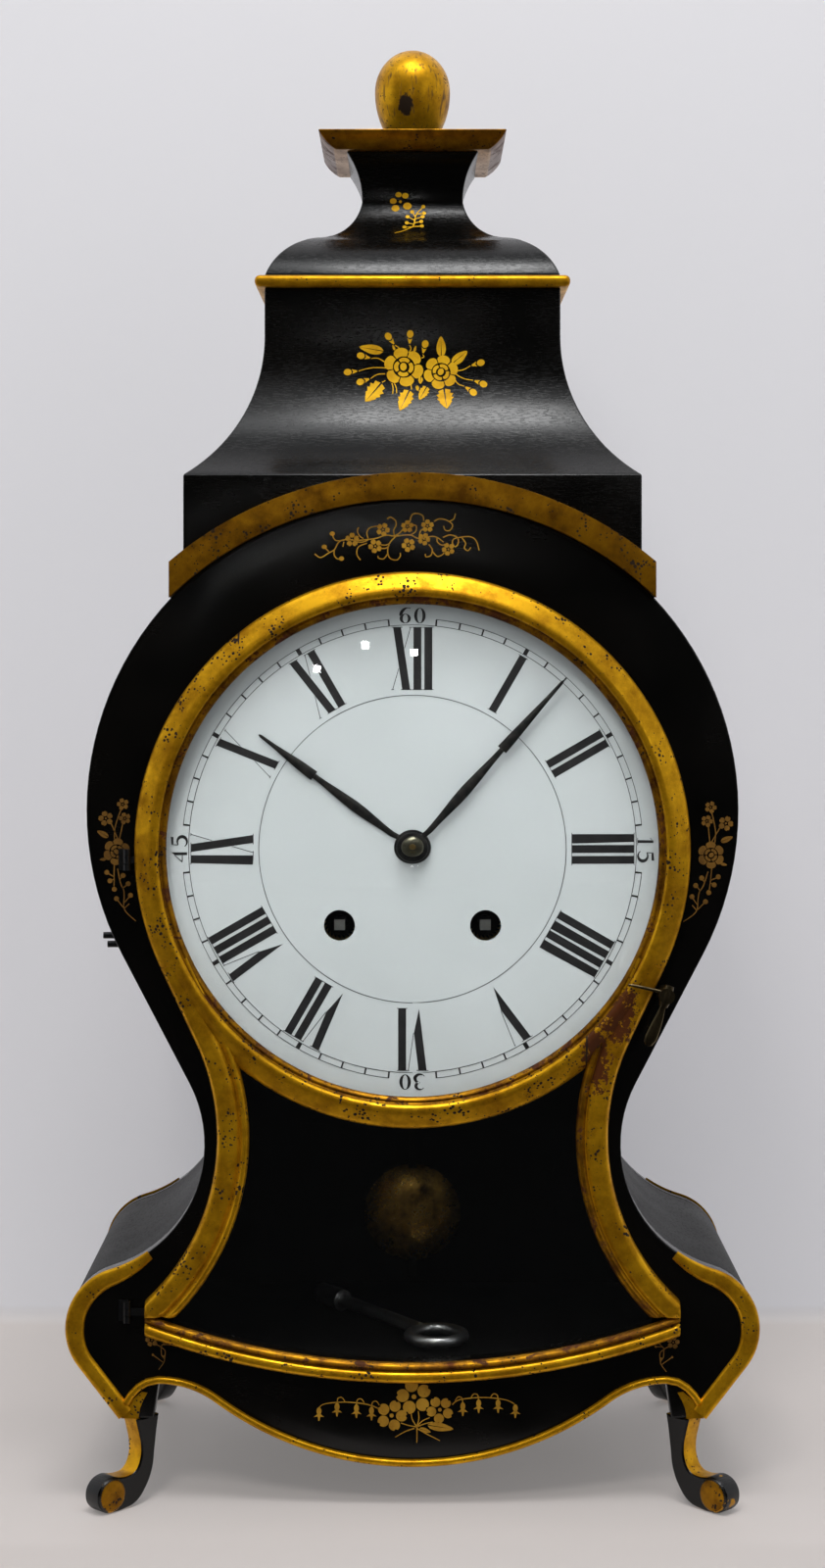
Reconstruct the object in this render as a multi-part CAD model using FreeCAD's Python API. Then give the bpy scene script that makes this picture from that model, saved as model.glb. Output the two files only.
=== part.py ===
import FreeCAD, Part
import math
import os
from FreeCAD import Vector

os.makedirs("parts", exist_ok=True)

# Bracket clock in millimetres: +Z up, the dial faces -Y, origin on the floor under the middle.

# Case
case_front = -80.0
case_back = 80.0
panel_thick = 12.0
wall = 8.0
back_thick = 8.0
round_centre_x = 7.0
round_radius = 139.4
neck_line = 65.5
dial_drop = 17.4
waist_half = 93.5
waist_z = 161.8
bulge_half = 155.1
bulge_z = 79.4
bulge_radius = 27.0
leg_set = 28.1
leg_z = 26.6
leg_radius = 20.5
leg_width = 15.0
floor_z = 63.0
floor_thick = 10.0
apron_z = 17.5
apron_low_share = 0.77777
apron_peak_set = 13.0
apron_peak_z = 54.8
apron_trim_width = 3.0
trim_thick = 2.5
strip_lip = 0.8
strip_width = 8.5
strip_top_z = 113.8

# Scroll feet, on the diagonals of the plan
foot_set = 8.0
foot_thick = 10.0
foot_top_inner = 7.0
foot_top_outer = 9.0
foot_neck_half = 3.7
foot_heel = 8.0
scroll_reach = 22.6
scroll_radius = 8.0
foot_turn = 45.0
foot_top_bow = 1.0
foot_neck_bow = 2.0

# Hood, cap and finial: front and sides step in together, the back is flat
hood_front = -68.0
band_half = 104.0
roof_over = 12.1
roof_half = 69.0
roof_high = 65.7
roof_bow = 9.0
upright_high = 23.5
hood_wall = 10.0
strip_half = 73.5
strip_high = 5.5
cap_shoulder_half = 45.0
cap_shoulder_rise = 21.3
cap_bulge = 4.2
neck_half = 24.4
neck_rise = 41.0
neck_bow = 4.5
flare_half = 31.8
flare_rise = 64.7
flare_bow = 2.2
cornice_half = 45.0
cornice_foot_half = 36.8
cornice_high = 8.3
cornice_bow = 1.0
ball_radius = 18.1
ball_seat_radius = 8.0
ball_low = 24.0
ball_high = 22.4
ball_tip_radius = 0.6
arch_inner = 157.0
arch_end_x = 109.0
arch_front = -85.0

# Door
sight_radius = 110.0
ring_radius = 124.5
door_gap = 0.3
door_thick = 10.0
door_flat = 6.0
stile_half = 87.5
stile_z = 165.8
stile_slack = 2.9
stile_width = 14.5
rail_radius = 349.0
rail_z = 56.0
rail_width = 9.5
door_corner_x = 119.5
rebate = 2.0
glass_thick = 2.0
glass_rise = 9.0
glass_seat = 5.2
glass_fit = 0.1
panel_opening = 113.5
hinge_off = 3.3
hinge_proud = 3.3
low_hinge_rise = 10.4
high_hinge_drop = 4.4
knuckle_radius = 1.7
knuckle_long = 3.0
hinge_pin_radius = 0.8
leaf_thick = 1.0
leaf_wide = 4.0
leaf_bite = 1.0
running = 0.05
hinge_shake = 0.2

# Latch
latch_off = 5.4
latch_angle = -29.6
latch_radius = 2.0
latch_eye = 4.2
latch_gap = 0.5
latch_thick = 1.8
latch_head = 1.0
latch_collar = 3.5
latch_shake = 0.2
latch_tip_way = (-17.0, 4.9)
latch_tail_way = (-9.0, -22.0)
latch_arm = 2.2
latch_tail_radius = 3.4

# Dial and hands
dial_radius = 112.8
dial_thick = 2.5
dial_rise = 2.5
dial_rim_y = -76.0
dial_hole = 5.5
dial_edge = 2.0
winding_x = 32.8
winding_z = -34.3
winding_hole = 6.95
winding_square = 4.8
minute_length = 101.6
minute_shoulder = 60.0
hour_length = 86.0
hour_shoulder = 55.0
hand_thick = 1.2
hand_width = 4.0
hand_shoulder_width = 4.7
hand_tip_half = 0.6
hand_root_share = 0.6
hand_neck_share = 0.55
hand_neck_drop = 1.5
hand_set = 0.3
minute_angle = 41.8
hour_angle = 306.7
dial_foot_radius = 2.0
hour_hub = 8.0
minute_hub = 4.6
hour_lift = 2.0
minute_lift = 4.5

# Movement
plate_half = 66.0
plate_thick = 3.0
plate_front = -57.0
plate_gap = 46.0
pillar_inset = 8.0
pillar_radius = 4.0
arbor_radius = 1.5
pivot_radius = 1.0
cannon_radius = 2.5
pipe_radius = 4.0
cannon_thick = 2.5
cannon_set = 3.5
hour_set = 4.0
motion_gap = 0.5
stud_over = 1.0
centre_over = 2.0
end_shake = 0.3
fit = 0.02
wheel_tooth = 0.42
pinion_tooth = 0.36
wheel_thick = 2.0
wheel_step = 6.0
pin_y = 12.0
locking_y = 21.0
third_y = 15.0
centre_y = 8.0
escape_y = 25.0
leaf_over = 0.5
addendum = 0.62
dedendum = 1.0
tooth_root_share = 1.35
tooth_tip_share = 0.6
pinion_lead = 0.5
pinion_thick = 3.0
great_pinion_thick = 4.0
great_thick = 3.0
bore_sides = 12
barrel_radius = 26.0
barrel_wall = 2.0
barrel_long = 24.0
drum_set = 2.0
spring_shake = 1.0
winding_radius = 3.0
ratchet_radius = 8.0
ratchet_teeth = 24
ratchet_thick = 2.0
ratchet_tooth = 1.5
ratchet_set = 1.0
winding_sink = 1.0
winding_collar = 2.0
click_eye = 3.0
click_half = 2.0
click_nose_half = 0.6
click_nose_rise = 3.0
click_screw = 2.0
click_gap = 0.4
click_x = 15.0
escape_z = 34.0
escape_teeth = 37
escape_radius = 14.0
escape_tooth = 2.5
anchor_z = 53.0
pallet_gap = 1.2
pallet_degrees = 42.0
pallet_thick = 2.0
pallet_bite = 1.0
anchor_hub = 3.2
anchor_half = 1.6
pallet_half = 1.2
crutch_hub = 3.0
crutch_set = 2.0
crutch_thick = 2.0
crutch_half = 1.2
crutch_drop = 4.0
cock_half = 12.0
cock_thick = 4.0
cock_clear = 1.0
pin_angle = 120.7
locking_angle = 49.8
fly_angle = 118.4
fan_half = 8.0
fan_long = 12.0
fan_half_thick = 0.4
fan_set = 5.0
seat_thick = 10.0
seat_back = -2.0
bell_radius = 45.0
bell_high = 28.0
bell_wall = 2.4
bell_y = 12.0
bell_rise = 83.6
bell_crown_share = 0.55
bell_bow = 6.0
bell_stand_drop = 2.0
stand_radius = 2.5
stand_bar = 4.0
stand_x = 30.0
hammer_x = -50.0
hammer_z = 46.0
hammer_gap = 1.2
hammer_head_radius = 4.5
hammer_head_long = 9.0
hammer_head_rise = 3.0
hammer_half = 1.5
hammer_neck_half = 1.2
hammer_half_thick = 1.0
hammer_over = 2.0
pendulum_y = 6.0
bob_z = 113.0
bob_radius = 23.0
bob_thick = 11.0
bob_bow = 2.0
rod_over = 8.0
rod_wide = 4.0
spring_long = 16.0
spring_half = 4.0
spring_half_thick = 0.15
rod_thick = 2.0
stud_drops = (58.0, 62.0)
stud_radius = 1.5
stud_proud = 7.0
stud_y = -62.0
key_bow = (11.0, -48.0)
key_long = 96.0
key_angle = 125.0
key_radius = 3.0
key_bow_radius = 12.5
key_wall = 2.0
key_pipe = 18.0
key_socket = 16.0

# Train counts and modules
great_teeth = 84
great_module = 0.7
second_leaves = 14
second_teeth = 72
second_module = 0.6
centre_leaves = 12
centre_teeth = 80
centre_module = 0.5
third_leaves = 8
third_teeth = 80
third_module = 0.4
escape_leaves = 8
pin_teeth = 60
locking_teeth = 56
fly_leaves = 8
cannon_leaves = 14
minute_teeth = 42
motion_module = 0.6
minute_leaves = 12
hour_teeth = 48

# Places that follow from the sizes above
leg_half = bulge_half - leg_set
apron_peak_x = leg_half - apron_peak_set
waist_side = bulge_half - waist_half
waist_radius = (waist_side ** 2 + (waist_z - bulge_z) ** 2) / (2 * waist_side) - bulge_radius
head_reach = math.hypot(round_radius + waist_radius, neck_line)
head_side = waist_half + waist_radius - round_centre_x
head = (round_centre_x, waist_z + math.sqrt(head_reach ** 2 - head_side ** 2))
head_top = head[1] + round_radius
dial_z = head[1] - dial_drop
roof_z = head_top + roof_over
roof_top_z = roof_z + roof_high
hood_top = roof_top_z + upright_high
band_bottom = head[1] + math.sqrt(round_radius ** 2 - (band_half - round_centre_x) ** 2) - wall
foot_x = leg_half - (foot_neck_half + foot_thick / 2) / math.sqrt(2)
ring_clear = ring_radius + stile_slack
stile_drop = dial_z - stile_z
stile_outer = (ring_clear ** 2 - stile_half ** 2 - stile_drop ** 2) / (2 * (stile_half - ring_clear))
stile_centre = (stile_half + stile_outer, stile_z)
rail_centre = (0.0, rail_z + rail_radius)
door_corner_z = rail_centre[1] - math.sqrt(rail_radius ** 2 - door_corner_x ** 2)
hinge_x = -ring_radius - hinge_off
hinge_y = case_front - door_gap - hinge_proud
hinge_heights = (door_corner_z + low_hinge_rise, dial_z - high_hinge_drop)
bell_z = dial_z + bell_rise
panel_back = case_front + panel_thick
plate_rear = plate_front + plate_thick
back_plate_front = plate_rear + plate_gap
back_plate_rear = back_plate_front + plate_thick
door_back = case_front - door_gap
door_front = door_back - door_thick
dial_centre = (0.0, dial_z)
cannon_y = plate_front - cannon_set
hour_y = cannon_y - hour_set


def export(name, *solids):
    shape = solids[0] if len(solids) == 1 else Part.makeCompound(list(solids))
    shape.exportStep("parts/" + name + ".step")


def at(point, y=0.0):
    return Vector(point[0], y, point[1])


def polar(centre, radius, angle):
    return (centre[0] + radius * math.cos(angle), centre[1] + radius * math.sin(angle))


def line(start, end):
    return Part.LineSegment(at(start), at(end)).toShape()


def lines(*points):
    return [line(p, q) for p, q in zip(points, points[1:]) if math.dist(p, q) > 1e-6]


def arc(centre, radius, start, end):
    angles = (start, (start + end) / 2, end)
    return Part.Arc(*[at(polar(centre, radius, a)) for a in angles]).toShape()


def bowed(start, end, bow):
    # An arc whose middle stands off the chord by bow, to the left of the way it runs.
    if abs(bow) < 1e-6:
        return line(start, end)
    length = math.dist(start, end)
    normal = ((start[1] - end[1]) / length, (end[0] - start[0]) / length)
    middle = [(start[i] + end[i]) / 2 + normal[i] * bow for i in (0, 1)]
    return Part.Arc(at(start), at(middle), at(end)).toShape()


def prism(edges, y0, y1):
    wire = Part.Wire(Part.__sortEdges__(edges))
    face = Part.Face(wire)
    face.translate(Vector(0, y0, 0))
    return face.extrude(Vector(0, y1 - y0, 0))


def polygon(points, y0, y1):
    return prism(lines(*points, points[0]), y0, y1)


def rod(centre, y0, y1, radius):
    return Part.makeCylinder(radius, y1 - y0, at(centre, y0), Vector(0, 1, 0))


def box(x0, x1, y0, y1, z0, z1):
    return Part.makeBox(x1 - x0, y1 - y0, z1 - z0, Vector(x0, y0, z0))


def tube(centre, y0, y1, outer, inner):
    return rod(centre, y0, y1, outer).cut(rod(centre, y0, y1, inner))


def mirrored(shape):
    return shape.mirror(Vector(0, 0, 0), Vector(1, 0, 0))


def both(edges):
    return edges + [mirrored(edge) for edge in edges]


def joined(*solids):
    whole = solids[0].multiFuse(list(solids[1:])) if len(solids) > 1 else solids[0]
    return whole.removeSplitter()


def side_prism(edges, half):
    # The outline's first axis becomes Y.
    return prism(edges, -half, half).rotate(Vector(0, 0, 0), Vector(0, 0, 1), 90)


def spun(edges, centre):
    # A solid of revolution: outline of (radius, depth) turned about the Y line through centre.
    face = Part.Face(Part.Wire(Part.__sortEdges__(edges)))
    face.rotate(Vector(0, 0, 0), Vector(1, 0, 0), -90)
    face.translate(at(centre))
    return face.revolve(at(centre), Vector(0, 1, 0), 360)


def crossing(c1, r1, c2, r2):
    # Touching points of the line that passes between two circles, on the right.
    span = math.dist(c1, c2)
    angle = math.atan2(c2[1] - c1[1], c2[0] - c1[0]) + math.acos((r1 + r2) / span)
    return polar(c1, r1, angle), polar(c2, -r2, angle), angle


# Case outline: round head, drawn-in waist, bulge and leg, all tangent
def outline(inset):
    waist = (waist_half + waist_radius, waist_z)
    bulge = (bulge_half - bulge_radius, bulge_z)
    leg = (leg_half + leg_radius, leg_z)
    p1, p2, head_end = crossing(head, round_radius - inset, waist, waist_radius + inset)
    p3, p4, bulge_end = crossing(bulge, bulge_radius - inset, leg, leg_radius + inset)
    joint = math.atan2(waist[1] - bulge[1], waist[0] - bulge[0])
    top = head_top - inset
    edges = lines((0, top), (round_centre_x, top))
    edges += [arc(head, round_radius - inset, math.pi / 2, head_end), line(p1, p2)]
    edges.append(arc(waist, waist_radius + inset, head_end + math.pi, joint + math.pi))
    edges.append(arc(bulge, bulge_radius - inset, joint, bulge_end))
    edges.append(line(p3, p4))
    return edges, p4


case_edges, leg_point = outline(0)
foot_top = leg_point[1]


def case_core(inset, y0, y1, bottom):
    edges, end = outline(inset)
    edges += lines(end, (end[0], bottom), (0, bottom))
    return prism(both(edges), y0, y1)


apron_rise = apron_peak_z - apron_z
apron_span = (apron_peak_x ** 2 + apron_rise ** 2) / (2 * apron_rise)
apron_turn = math.asin(apron_peak_x / apron_span)
apron_radius = apron_low_share * apron_span
apron_centre = (0, apron_z + apron_radius)
apron_shoulder = (apron_peak_x, apron_peak_z - (apron_span - apron_radius))


def apron_edges(lift):
    low = arc(apron_centre, apron_radius - lift, -math.pi / 2, apron_turn - math.pi / 2)
    rise = arc(apron_shoulder, apron_span - apron_radius + lift, math.pi / 2 + apron_turn, math.pi / 2)
    return [low, rise]


def case_face(y0, y1):
    inner = (leg_point[0] - leg_width, foot_top)
    edges = case_edges + lines(leg_point, inner, (apron_peak_x, apron_peak_z)) + apron_edges(0)
    return prism(both(edges), y0, y1)


def window(grow, y0, y1):
    # The keystone light under the dial ring, between the stiles and over the rail.
    rail = rod(rail_centre, y0, y1, rail_radius - rail_width + grow)
    half = door_corner_x - stile_width + grow
    light = box(-half, half, y0, y1, rail_z, dial_z).common(rail)
    light = light.cut(rod(dial_centre, y0, y1, ring_radius - grow))
    for side in (-1, 1):
        stile = rod((side * stile_centre[0], stile_z), y0, y1, stile_outer + stile_width - grow)
        light = light.cut(stile)
    return max(light.Solids, key=lambda solid: solid.Volume)


front_panel = case_face(case_front, panel_back)
front_panel = front_panel.cut(rod(dial_centre, case_front, panel_back, panel_opening))
front_panel = front_panel.cut(window(rebate, case_front, panel_back))
export("front_panel", front_panel)
export("back_board", case_face(case_back - back_thick, case_back))

wall_y = (panel_back, case_back - back_thick)
shell = case_core(0, *wall_y, foot_top).cut(case_core(wall, *wall_y, foot_top - wall))
reach = 2 * bulge_half
right_side = shell.common(box(0, reach, *wall_y, 0, reach * 2))
export("right_side", right_side)
export("left_side", mirrored(right_side))

floor_slab = box(-reach, reach, *wall_y, floor_z - floor_thick, floor_z)
export("case_floor", case_core(wall, *wall_y, foot_top - wall).common(floor_slab))


# Gilt strips: bands round the four bulges and along the apron
def wing_strip(y0, y1):
    band = case_core(-strip_lip, y0, y1, foot_top).cut(case_core(strip_width, y0, y1, foot_top - wall))
    return band.common(box(apron_peak_x, bulge_half + strip_lip, y0, y1, foot_top, strip_top_z))


front_strip = wing_strip(case_front - trim_thick, case_front)
rear_strip = wing_strip(case_back, case_back + trim_thick)

trim_end = line((apron_peak_x, apron_peak_z), (apron_peak_x, apron_peak_z + apron_trim_width))
trim_edges = both(apron_edges(0) + apron_edges(apron_trim_width) + [trim_end])
apron_trim = prism(trim_edges, case_front - trim_thick, case_front)
export("apron_trim", apron_trim.cut(front_strip).cut(mirrored(front_strip)))


# Feet: a neck that sweeps out into a scroll, set on the diagonal
def foot(turn, x, y):
    scroll = (scroll_reach, scroll_radius)
    roll_end = 3 * math.pi / 4
    inner_top = (-foot_top_inner, foot_top)
    outer_top = (foot_top_outer, foot_top)
    inner_neck = (-foot_neck_half, leg_z)
    outer_neck = (foot_neck_half, leg_z)
    heel = (foot_heel, 0)
    roll_top = polar(scroll, scroll_radius, roll_end)
    edges = [line(inner_top, outer_top), bowed(outer_top, outer_neck, -foot_top_bow)]
    edges += [bowed(outer_neck, roll_top, foot_neck_bow), arc(scroll, scroll_radius, roll_end, -math.pi / 2)]
    edges += [line((scroll_reach, 0), heel), bowed(heel, inner_neck, foot_neck_bow)]
    edges.append(bowed(inner_neck, inner_top, -foot_top_bow))
    solid = prism(edges, -foot_thick / 2, foot_thick / 2)
    solid.rotate(Vector(0, 0, 0), Vector(0, 0, 1), turn)
    solid.translate(Vector(x, y, 0))
    return solid


export("front_right_foot", foot(-foot_turn, foot_x, case_front + foot_set))
export("front_left_foot", foot(foot_turn - 180, -foot_x, case_front + foot_set))
export("rear_right_foot", foot(foot_turn, foot_x, case_back - foot_set))
export("rear_left_foot", foot(180 - foot_turn, -foot_x, case_back - foot_set))


# Hood stages: one profile of (half width, height) worked on the front and both sides
def mitred(points, bows, inset=0.0):
    def depth(half):
        return hood_front + band_half - half

    halves = [(half - inset, z) for half, z in points]
    steps = list(zip(halves, halves[1:], bows))
    sides = [bowed(p, q, bow) for p, q, bow in steps]
    (low_half, low), (high_half, high) = halves[0], halves[-1]
    across = both(sides) + lines((-low_half, low), (low_half, low))
    across += lines((-high_half, high), (high_half, high))
    back = case_back - inset
    along = [bowed((depth(p[0]), p[1]), (depth(q[0]), q[1]), -bow) for p, q, bow in steps]
    along += lines((depth(low_half), low), (back, low), (back, high), (depth(high_half), high))
    return prism(across, hood_front, back).common(side_prism(along, band_half))


hood_points = [(band_half, band_bottom), (band_half, roof_z)]
hood_points += [(roof_half, roof_top_z), (roof_half, hood_top)]
hood_bows = (0, roof_bow, 0)
cavity_points = hood_points[:-1] + [(roof_half, hood_top - hood_wall)]
hood_body = mitred(hood_points, hood_bows).cut(mitred(cavity_points, hood_bows, hood_wall))
export("hood_body", hood_body.cut(case_core(0, hood_front, case_back, foot_top)))

strip_top = hood_top + strip_high
export("hood_strip", mitred([(strip_half, hood_top), (strip_half, strip_top)], (0,)))
flare_z = strip_top + flare_rise
cap_points = [(roof_half, strip_top), (cap_shoulder_half, strip_top + cap_shoulder_rise)]
cap_points += [(neck_half, strip_top + neck_rise), (flare_half, flare_z)]
export("hood_cap", mitred(cap_points, (-cap_bulge, neck_bow, flare_bow)))
cornice_top = flare_z + cornice_high
cornice_points = [(cornice_foot_half, flare_z), (cornice_half, cornice_top)]
export("cornice", mitred(cornice_points, (-cornice_bow,)))

# Finial: an egg of two arcs that meet level at its widest
ball_z = cornice_top + ball_low
ball_y = (hood_front + band_half - cornice_half + case_back) / 2
ball_under = ball_radius - ball_seat_radius
low_radius = (ball_under ** 2 + ball_low ** 2) / (2 * ball_under)
ball_over = ball_radius - ball_tip_radius
high_radius = (ball_over ** 2 + ball_high ** 2) / (2 * ball_over)
low_angle = math.asin(ball_low / low_radius)
high_angle = math.asin(ball_high / high_radius)
egg = [arc((ball_radius - low_radius, ball_z), low_radius, -low_angle, 0)]
egg.append(arc((ball_radius - high_radius, ball_z), high_radius, 0, high_angle))
egg += lines((ball_tip_radius, ball_z + ball_high), (0, ball_z + ball_high))
egg += lines((0, ball_z + ball_high), (0, cornice_top), (ball_seat_radius, cornice_top))
finial = Part.Face(Part.Wire(Part.__sortEdges__(egg))).revolve(Vector(0, 0, 0), Vector(0, 0, 1), 360)
finial.translate(Vector(0, ball_y, 0))
export("finial", finial)

arch_outer = roof_z - dial_z
arch = tube(dial_centre, arch_front, hood_front, arch_outer, arch_inner).cut(front_panel)
export("arch_moulding", arch.common(box(-arch_end_x, arch_end_x, arch_front, hood_front, dial_z, roof_z)))


# Door: a half-round dial ring and a flat keystone frame in one
def door_ring():
    middle = (sight_radius + ring_radius) / 2
    flat = door_back - door_flat
    edges = lines((sight_radius, flat), (sight_radius, door_back))
    edges += lines((sight_radius, door_back), (ring_radius, door_back), (ring_radius, flat))
    crown = Part.Arc(at((sight_radius, flat)), at((middle, door_front)), at((ring_radius, flat))).toShape()
    return spun(edges + [crown], dial_centre)


def keystone():
    # Straight runs leave the ring at a tangent, round into the stiles and end at pointed corners.
    front = door_back - door_thick + rebate
    p1, p2, way = crossing(dial_centre, ring_radius, stile_centre, stile_outer)
    corner_angle = math.acos((door_corner_x - stile_centre[0]) / stile_outer)
    corner_top = polar(stile_centre, stile_outer, -corner_angle)
    corner = (door_corner_x, door_corner_z)
    corner_turn = math.asin(door_corner_x / rail_radius)
    edges = lines((0, p1[1]), p1, p2) + lines(corner_top, corner)
    edges.append(arc(stile_centre, stile_outer, way + math.pi, 2 * math.pi - corner_angle))
    edges.append(arc(rail_centre, rail_radius, corner_turn - math.pi / 2, -math.pi / 2))
    body = prism(both(edges), front, door_back)
    body = body.cut(rod(dial_centre, front, door_back, sight_radius + rebate))
    return body.cut(window(0, front, door_back))


glass_front = door_back - glass_seat
pane_front = glass_front + glass_thick / 2
door_frame = joined(door_ring(), keystone())
door_frame = door_frame.cut(rod(dial_centre, glass_front, door_back, sight_radius + rebate))
door_frame = door_frame.cut(window(rebate, pane_front, door_back))
export("door_frame", door_frame)


def domed(rim_radius, flange_radius, front, rise, thick):
    # A shallow spherical cap with a flat flange round its foot.
    outer = (rim_radius ** 2 + rise ** 2) / (2 * rise)
    middle = front - rise + outer
    inner = outer - thick
    foot_y = front + thick
    inner_rim = math.sqrt(inner ** 2 - (middle - foot_y) ** 2)
    centre = (0, middle)
    rim_angle = -math.acos(rim_radius / outer)
    inner_angle = -math.acos(inner_rim / inner)
    edges = [arc(centre, outer, -math.pi / 2, rim_angle), arc(centre, inner, -math.pi / 2, inner_angle)]
    edges += lines((0, middle - outer), (0, middle - inner))
    edges += lines((rim_radius, front), (flange_radius, front))
    edges += lines((flange_radius, front), (flange_radius, foot_y), (inner_rim, foot_y))
    return spun(edges, dial_centre)


glass_rim = sight_radius - glass_fit
glass_flange = sight_radius + rebate - glass_fit
export("dial_glass", domed(glass_rim, glass_flange, glass_front, glass_rise, glass_thick))
export("lower_glass", window(rebate - glass_fit, pane_front, pane_front + glass_thick))


# Hinges: the case leaves carry the pins, the door leaves turn on them
def upright(x, y, z0, z1, radius):
    return Part.makeCylinder(radius, z1 - z0, Vector(x, y, z0))


def case_leaf(z):
    half = knuckle_long / 2 + hinge_shake
    low = z - half - knuckle_long
    high = z + half + knuckle_long
    plate = box(hinge_x - leaf_wide, hinge_x, case_front - leaf_thick, case_front, low, high)
    web = box(hinge_x - knuckle_radius, hinge_x, hinge_y, case_front, low, high)
    block = joined(upright(hinge_x, hinge_y, low, high, knuckle_radius), plate, web)
    gap = knuckle_radius + hinge_shake
    block = block.cut(box(hinge_x - gap, hinge_x + gap, hinge_y - gap, case_front, z - half, z + half))
    return block.cut(upright(hinge_x, hinge_y, low, high, hinge_pin_radius))


def door_leaf(z):
    half = knuckle_long / 2
    leaf_edge = -door_corner_x if z < stile_z else -ring_radius
    knuckle = upright(hinge_x, hinge_y, z - half, z + half, knuckle_radius)
    arm = box(hinge_x, leaf_edge + leaf_bite, hinge_y, hinge_y + knuckle_radius, z - half, z + half)
    block = joined(knuckle, arm).cut(door_frame)
    return block.cut(upright(hinge_x, hinge_y, z - half, z + half, hinge_pin_radius + running))


def hinge_pin(z):
    half = 3 * knuckle_long / 2 + hinge_shake
    return upright(hinge_x, hinge_y, z - half, z + half, hinge_pin_radius)


case_leaves = [case_leaf(z) for z in hinge_heights]
export("hinge_case_leaves", *case_leaves, *[hinge_pin(z) for z in hinge_heights])
left_strip = mirrored(front_strip).cut(case_leaves[0])
export("wing_strips", front_strip, left_strip, rear_strip, mirrored(rear_strip))
export("hinge_door_leaves", *[max(door_leaf(z).Solids, key=lambda s: s.Volume) for z in hinge_heights])

# Latch: a hook with a teardrop tail that turns on a headed post
latch_centre = polar(dial_centre, ring_radius + latch_off, math.radians(latch_angle))
latch_tip = (latch_centre[0] + latch_tip_way[0], latch_centre[1] + latch_tip_way[1])
latch_tail = (latch_centre[0] + latch_tail_way[0], latch_centre[1] + latch_tail_way[1])
hook_back = door_front - latch_gap
hook_front = hook_back - latch_thick
post_head = hook_front - latch_shake
post_top = post_head - latch_head
post = joined(rod(latch_centre, post_top, case_front, latch_radius),
              rod(latch_centre, post_top, post_head, latch_collar),
              rod(latch_centre, hook_back + latch_shake, case_front, latch_collar))
export("latch_post", post)


def bar(start, end, y0, y1, start_half, end_half):
    length = math.dist(start, end)
    side = ((start[1] - end[1]) / length, (end[0] - start[0]) / length)
    ends = [(start, start_half), (end, end_half), (end, -end_half), (start, -start_half)]
    return polygon([(p[0] + side[0] * w, p[1] + side[1] * w) for p, w in ends], y0, y1)


hook = joined(rod(latch_centre, hook_front, hook_back, latch_eye),
              bar(latch_centre, latch_tip, hook_front, hook_back, latch_arm, latch_arm),
              rod(latch_tip, hook_front, hook_back, latch_arm),
              bar(latch_centre, latch_tail, hook_front, hook_back, latch_arm / 2, latch_tail_radius),
              rod(latch_tail, hook_front, hook_back, latch_tail_radius))
export("latch_hook", hook.cut(rod(latch_centre, hook_front, hook_back, latch_radius + running)))


# Side studs stand on the left wall
def stud(drop):
    solid = Part.makeCylinder(stud_radius, reach, Vector(-reach, stud_y, head[1] - drop), Vector(1, 0, 0))
    outer = head[0] + math.sqrt(round_radius ** 2 - drop ** 2)
    solid = solid.common(box(-outer - stud_proud, 0, case_front, case_back, 0, reach * 2))
    return solid.cut(case_core(0, *wall_y, foot_top))


export("side_studs", *[stud(drop) for drop in stud_drops])

# Positions of the arbors, relative to the dial centre
going_barrel_at = (winding_x, dial_z + winding_z)
strike_barrel_at = (-winding_x, dial_z + winding_z)
great_distance = great_module * (great_teeth + second_leaves) / 2
second_distance = second_module * (second_teeth + centre_leaves) / 2
third_distance = centre_module * (centre_teeth + third_leaves) / 2
escape_distance = third_module * (third_teeth + escape_leaves) / 2
locking_distance = centre_module * (pin_teeth + third_leaves) / 2
fly_distance = third_module * (locking_teeth + fly_leaves) / 2


def meet(p, p_far, q, q_far):
    # The point p_far from p and q_far from q, on the left of the way from p to q.
    span = math.dist(p, q)
    along = (span ** 2 + p_far ** 2 - q_far ** 2) / (2 * span)
    off = math.sqrt(p_far ** 2 - along ** 2)
    ux, uz = (q[0] - p[0]) / span, (q[1] - p[1]) / span
    return (p[0] + ux * along - uz * off, p[1] + uz * along + ux * off)


escape_at = (0.0, dial_z + escape_z)
anchor_at = (0.0, dial_z + anchor_z)
intermediate_at = meet(dial_centre, second_distance, going_barrel_at, great_distance)
third_at = meet(escape_at, escape_distance, dial_centre, third_distance)
second_at = (-intermediate_at[0], intermediate_at[1])
pin_at = polar(second_at, second_distance, math.radians(pin_angle))
locking_at = polar(pin_at, locking_distance, math.radians(locking_angle))
fly_at = polar(locking_at, fly_distance, math.radians(fly_angle))
hammer_at = (hammer_x, dial_z + hammer_z)
minute_at = (0.0, dial_z - motion_module * (cannon_leaves + minute_teeth) / 2)
hour_module = 2 * math.dist(minute_at, dial_centre) / (minute_leaves + hour_teeth)


def ring_points(centre, radius, sides):
    # A many-sided bore that clears a round of this radius.
    outer = radius / math.cos(math.pi / sides)
    return [polar(centre, outer, 2 * math.pi * k / sides) for k in range(sides)]


def toothed(centre, teeth, module, y0, y1, phase, share, bore=0.0):
    pitch = module * teeth / 2
    half = share * math.pi / teeth
    root = pitch - dedendum * module
    tip = pitch + addendum * module
    shape = [(-tooth_root_share, root), (-tooth_tip_share, tip)]
    shape += [(tooth_tip_share, tip), (tooth_root_share, root)]
    points = []
    for tooth in range(teeth):
        middle = phase + 2 * math.pi * tooth / teeth
        points += [polar(centre, radius, middle + side * half) for side, radius in shape]
    solid = polygon(points, y0, y1)
    return solid.cut(polygon(ring_points(centre, bore, bore_sides), y0, y1)) if bore else solid


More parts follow.
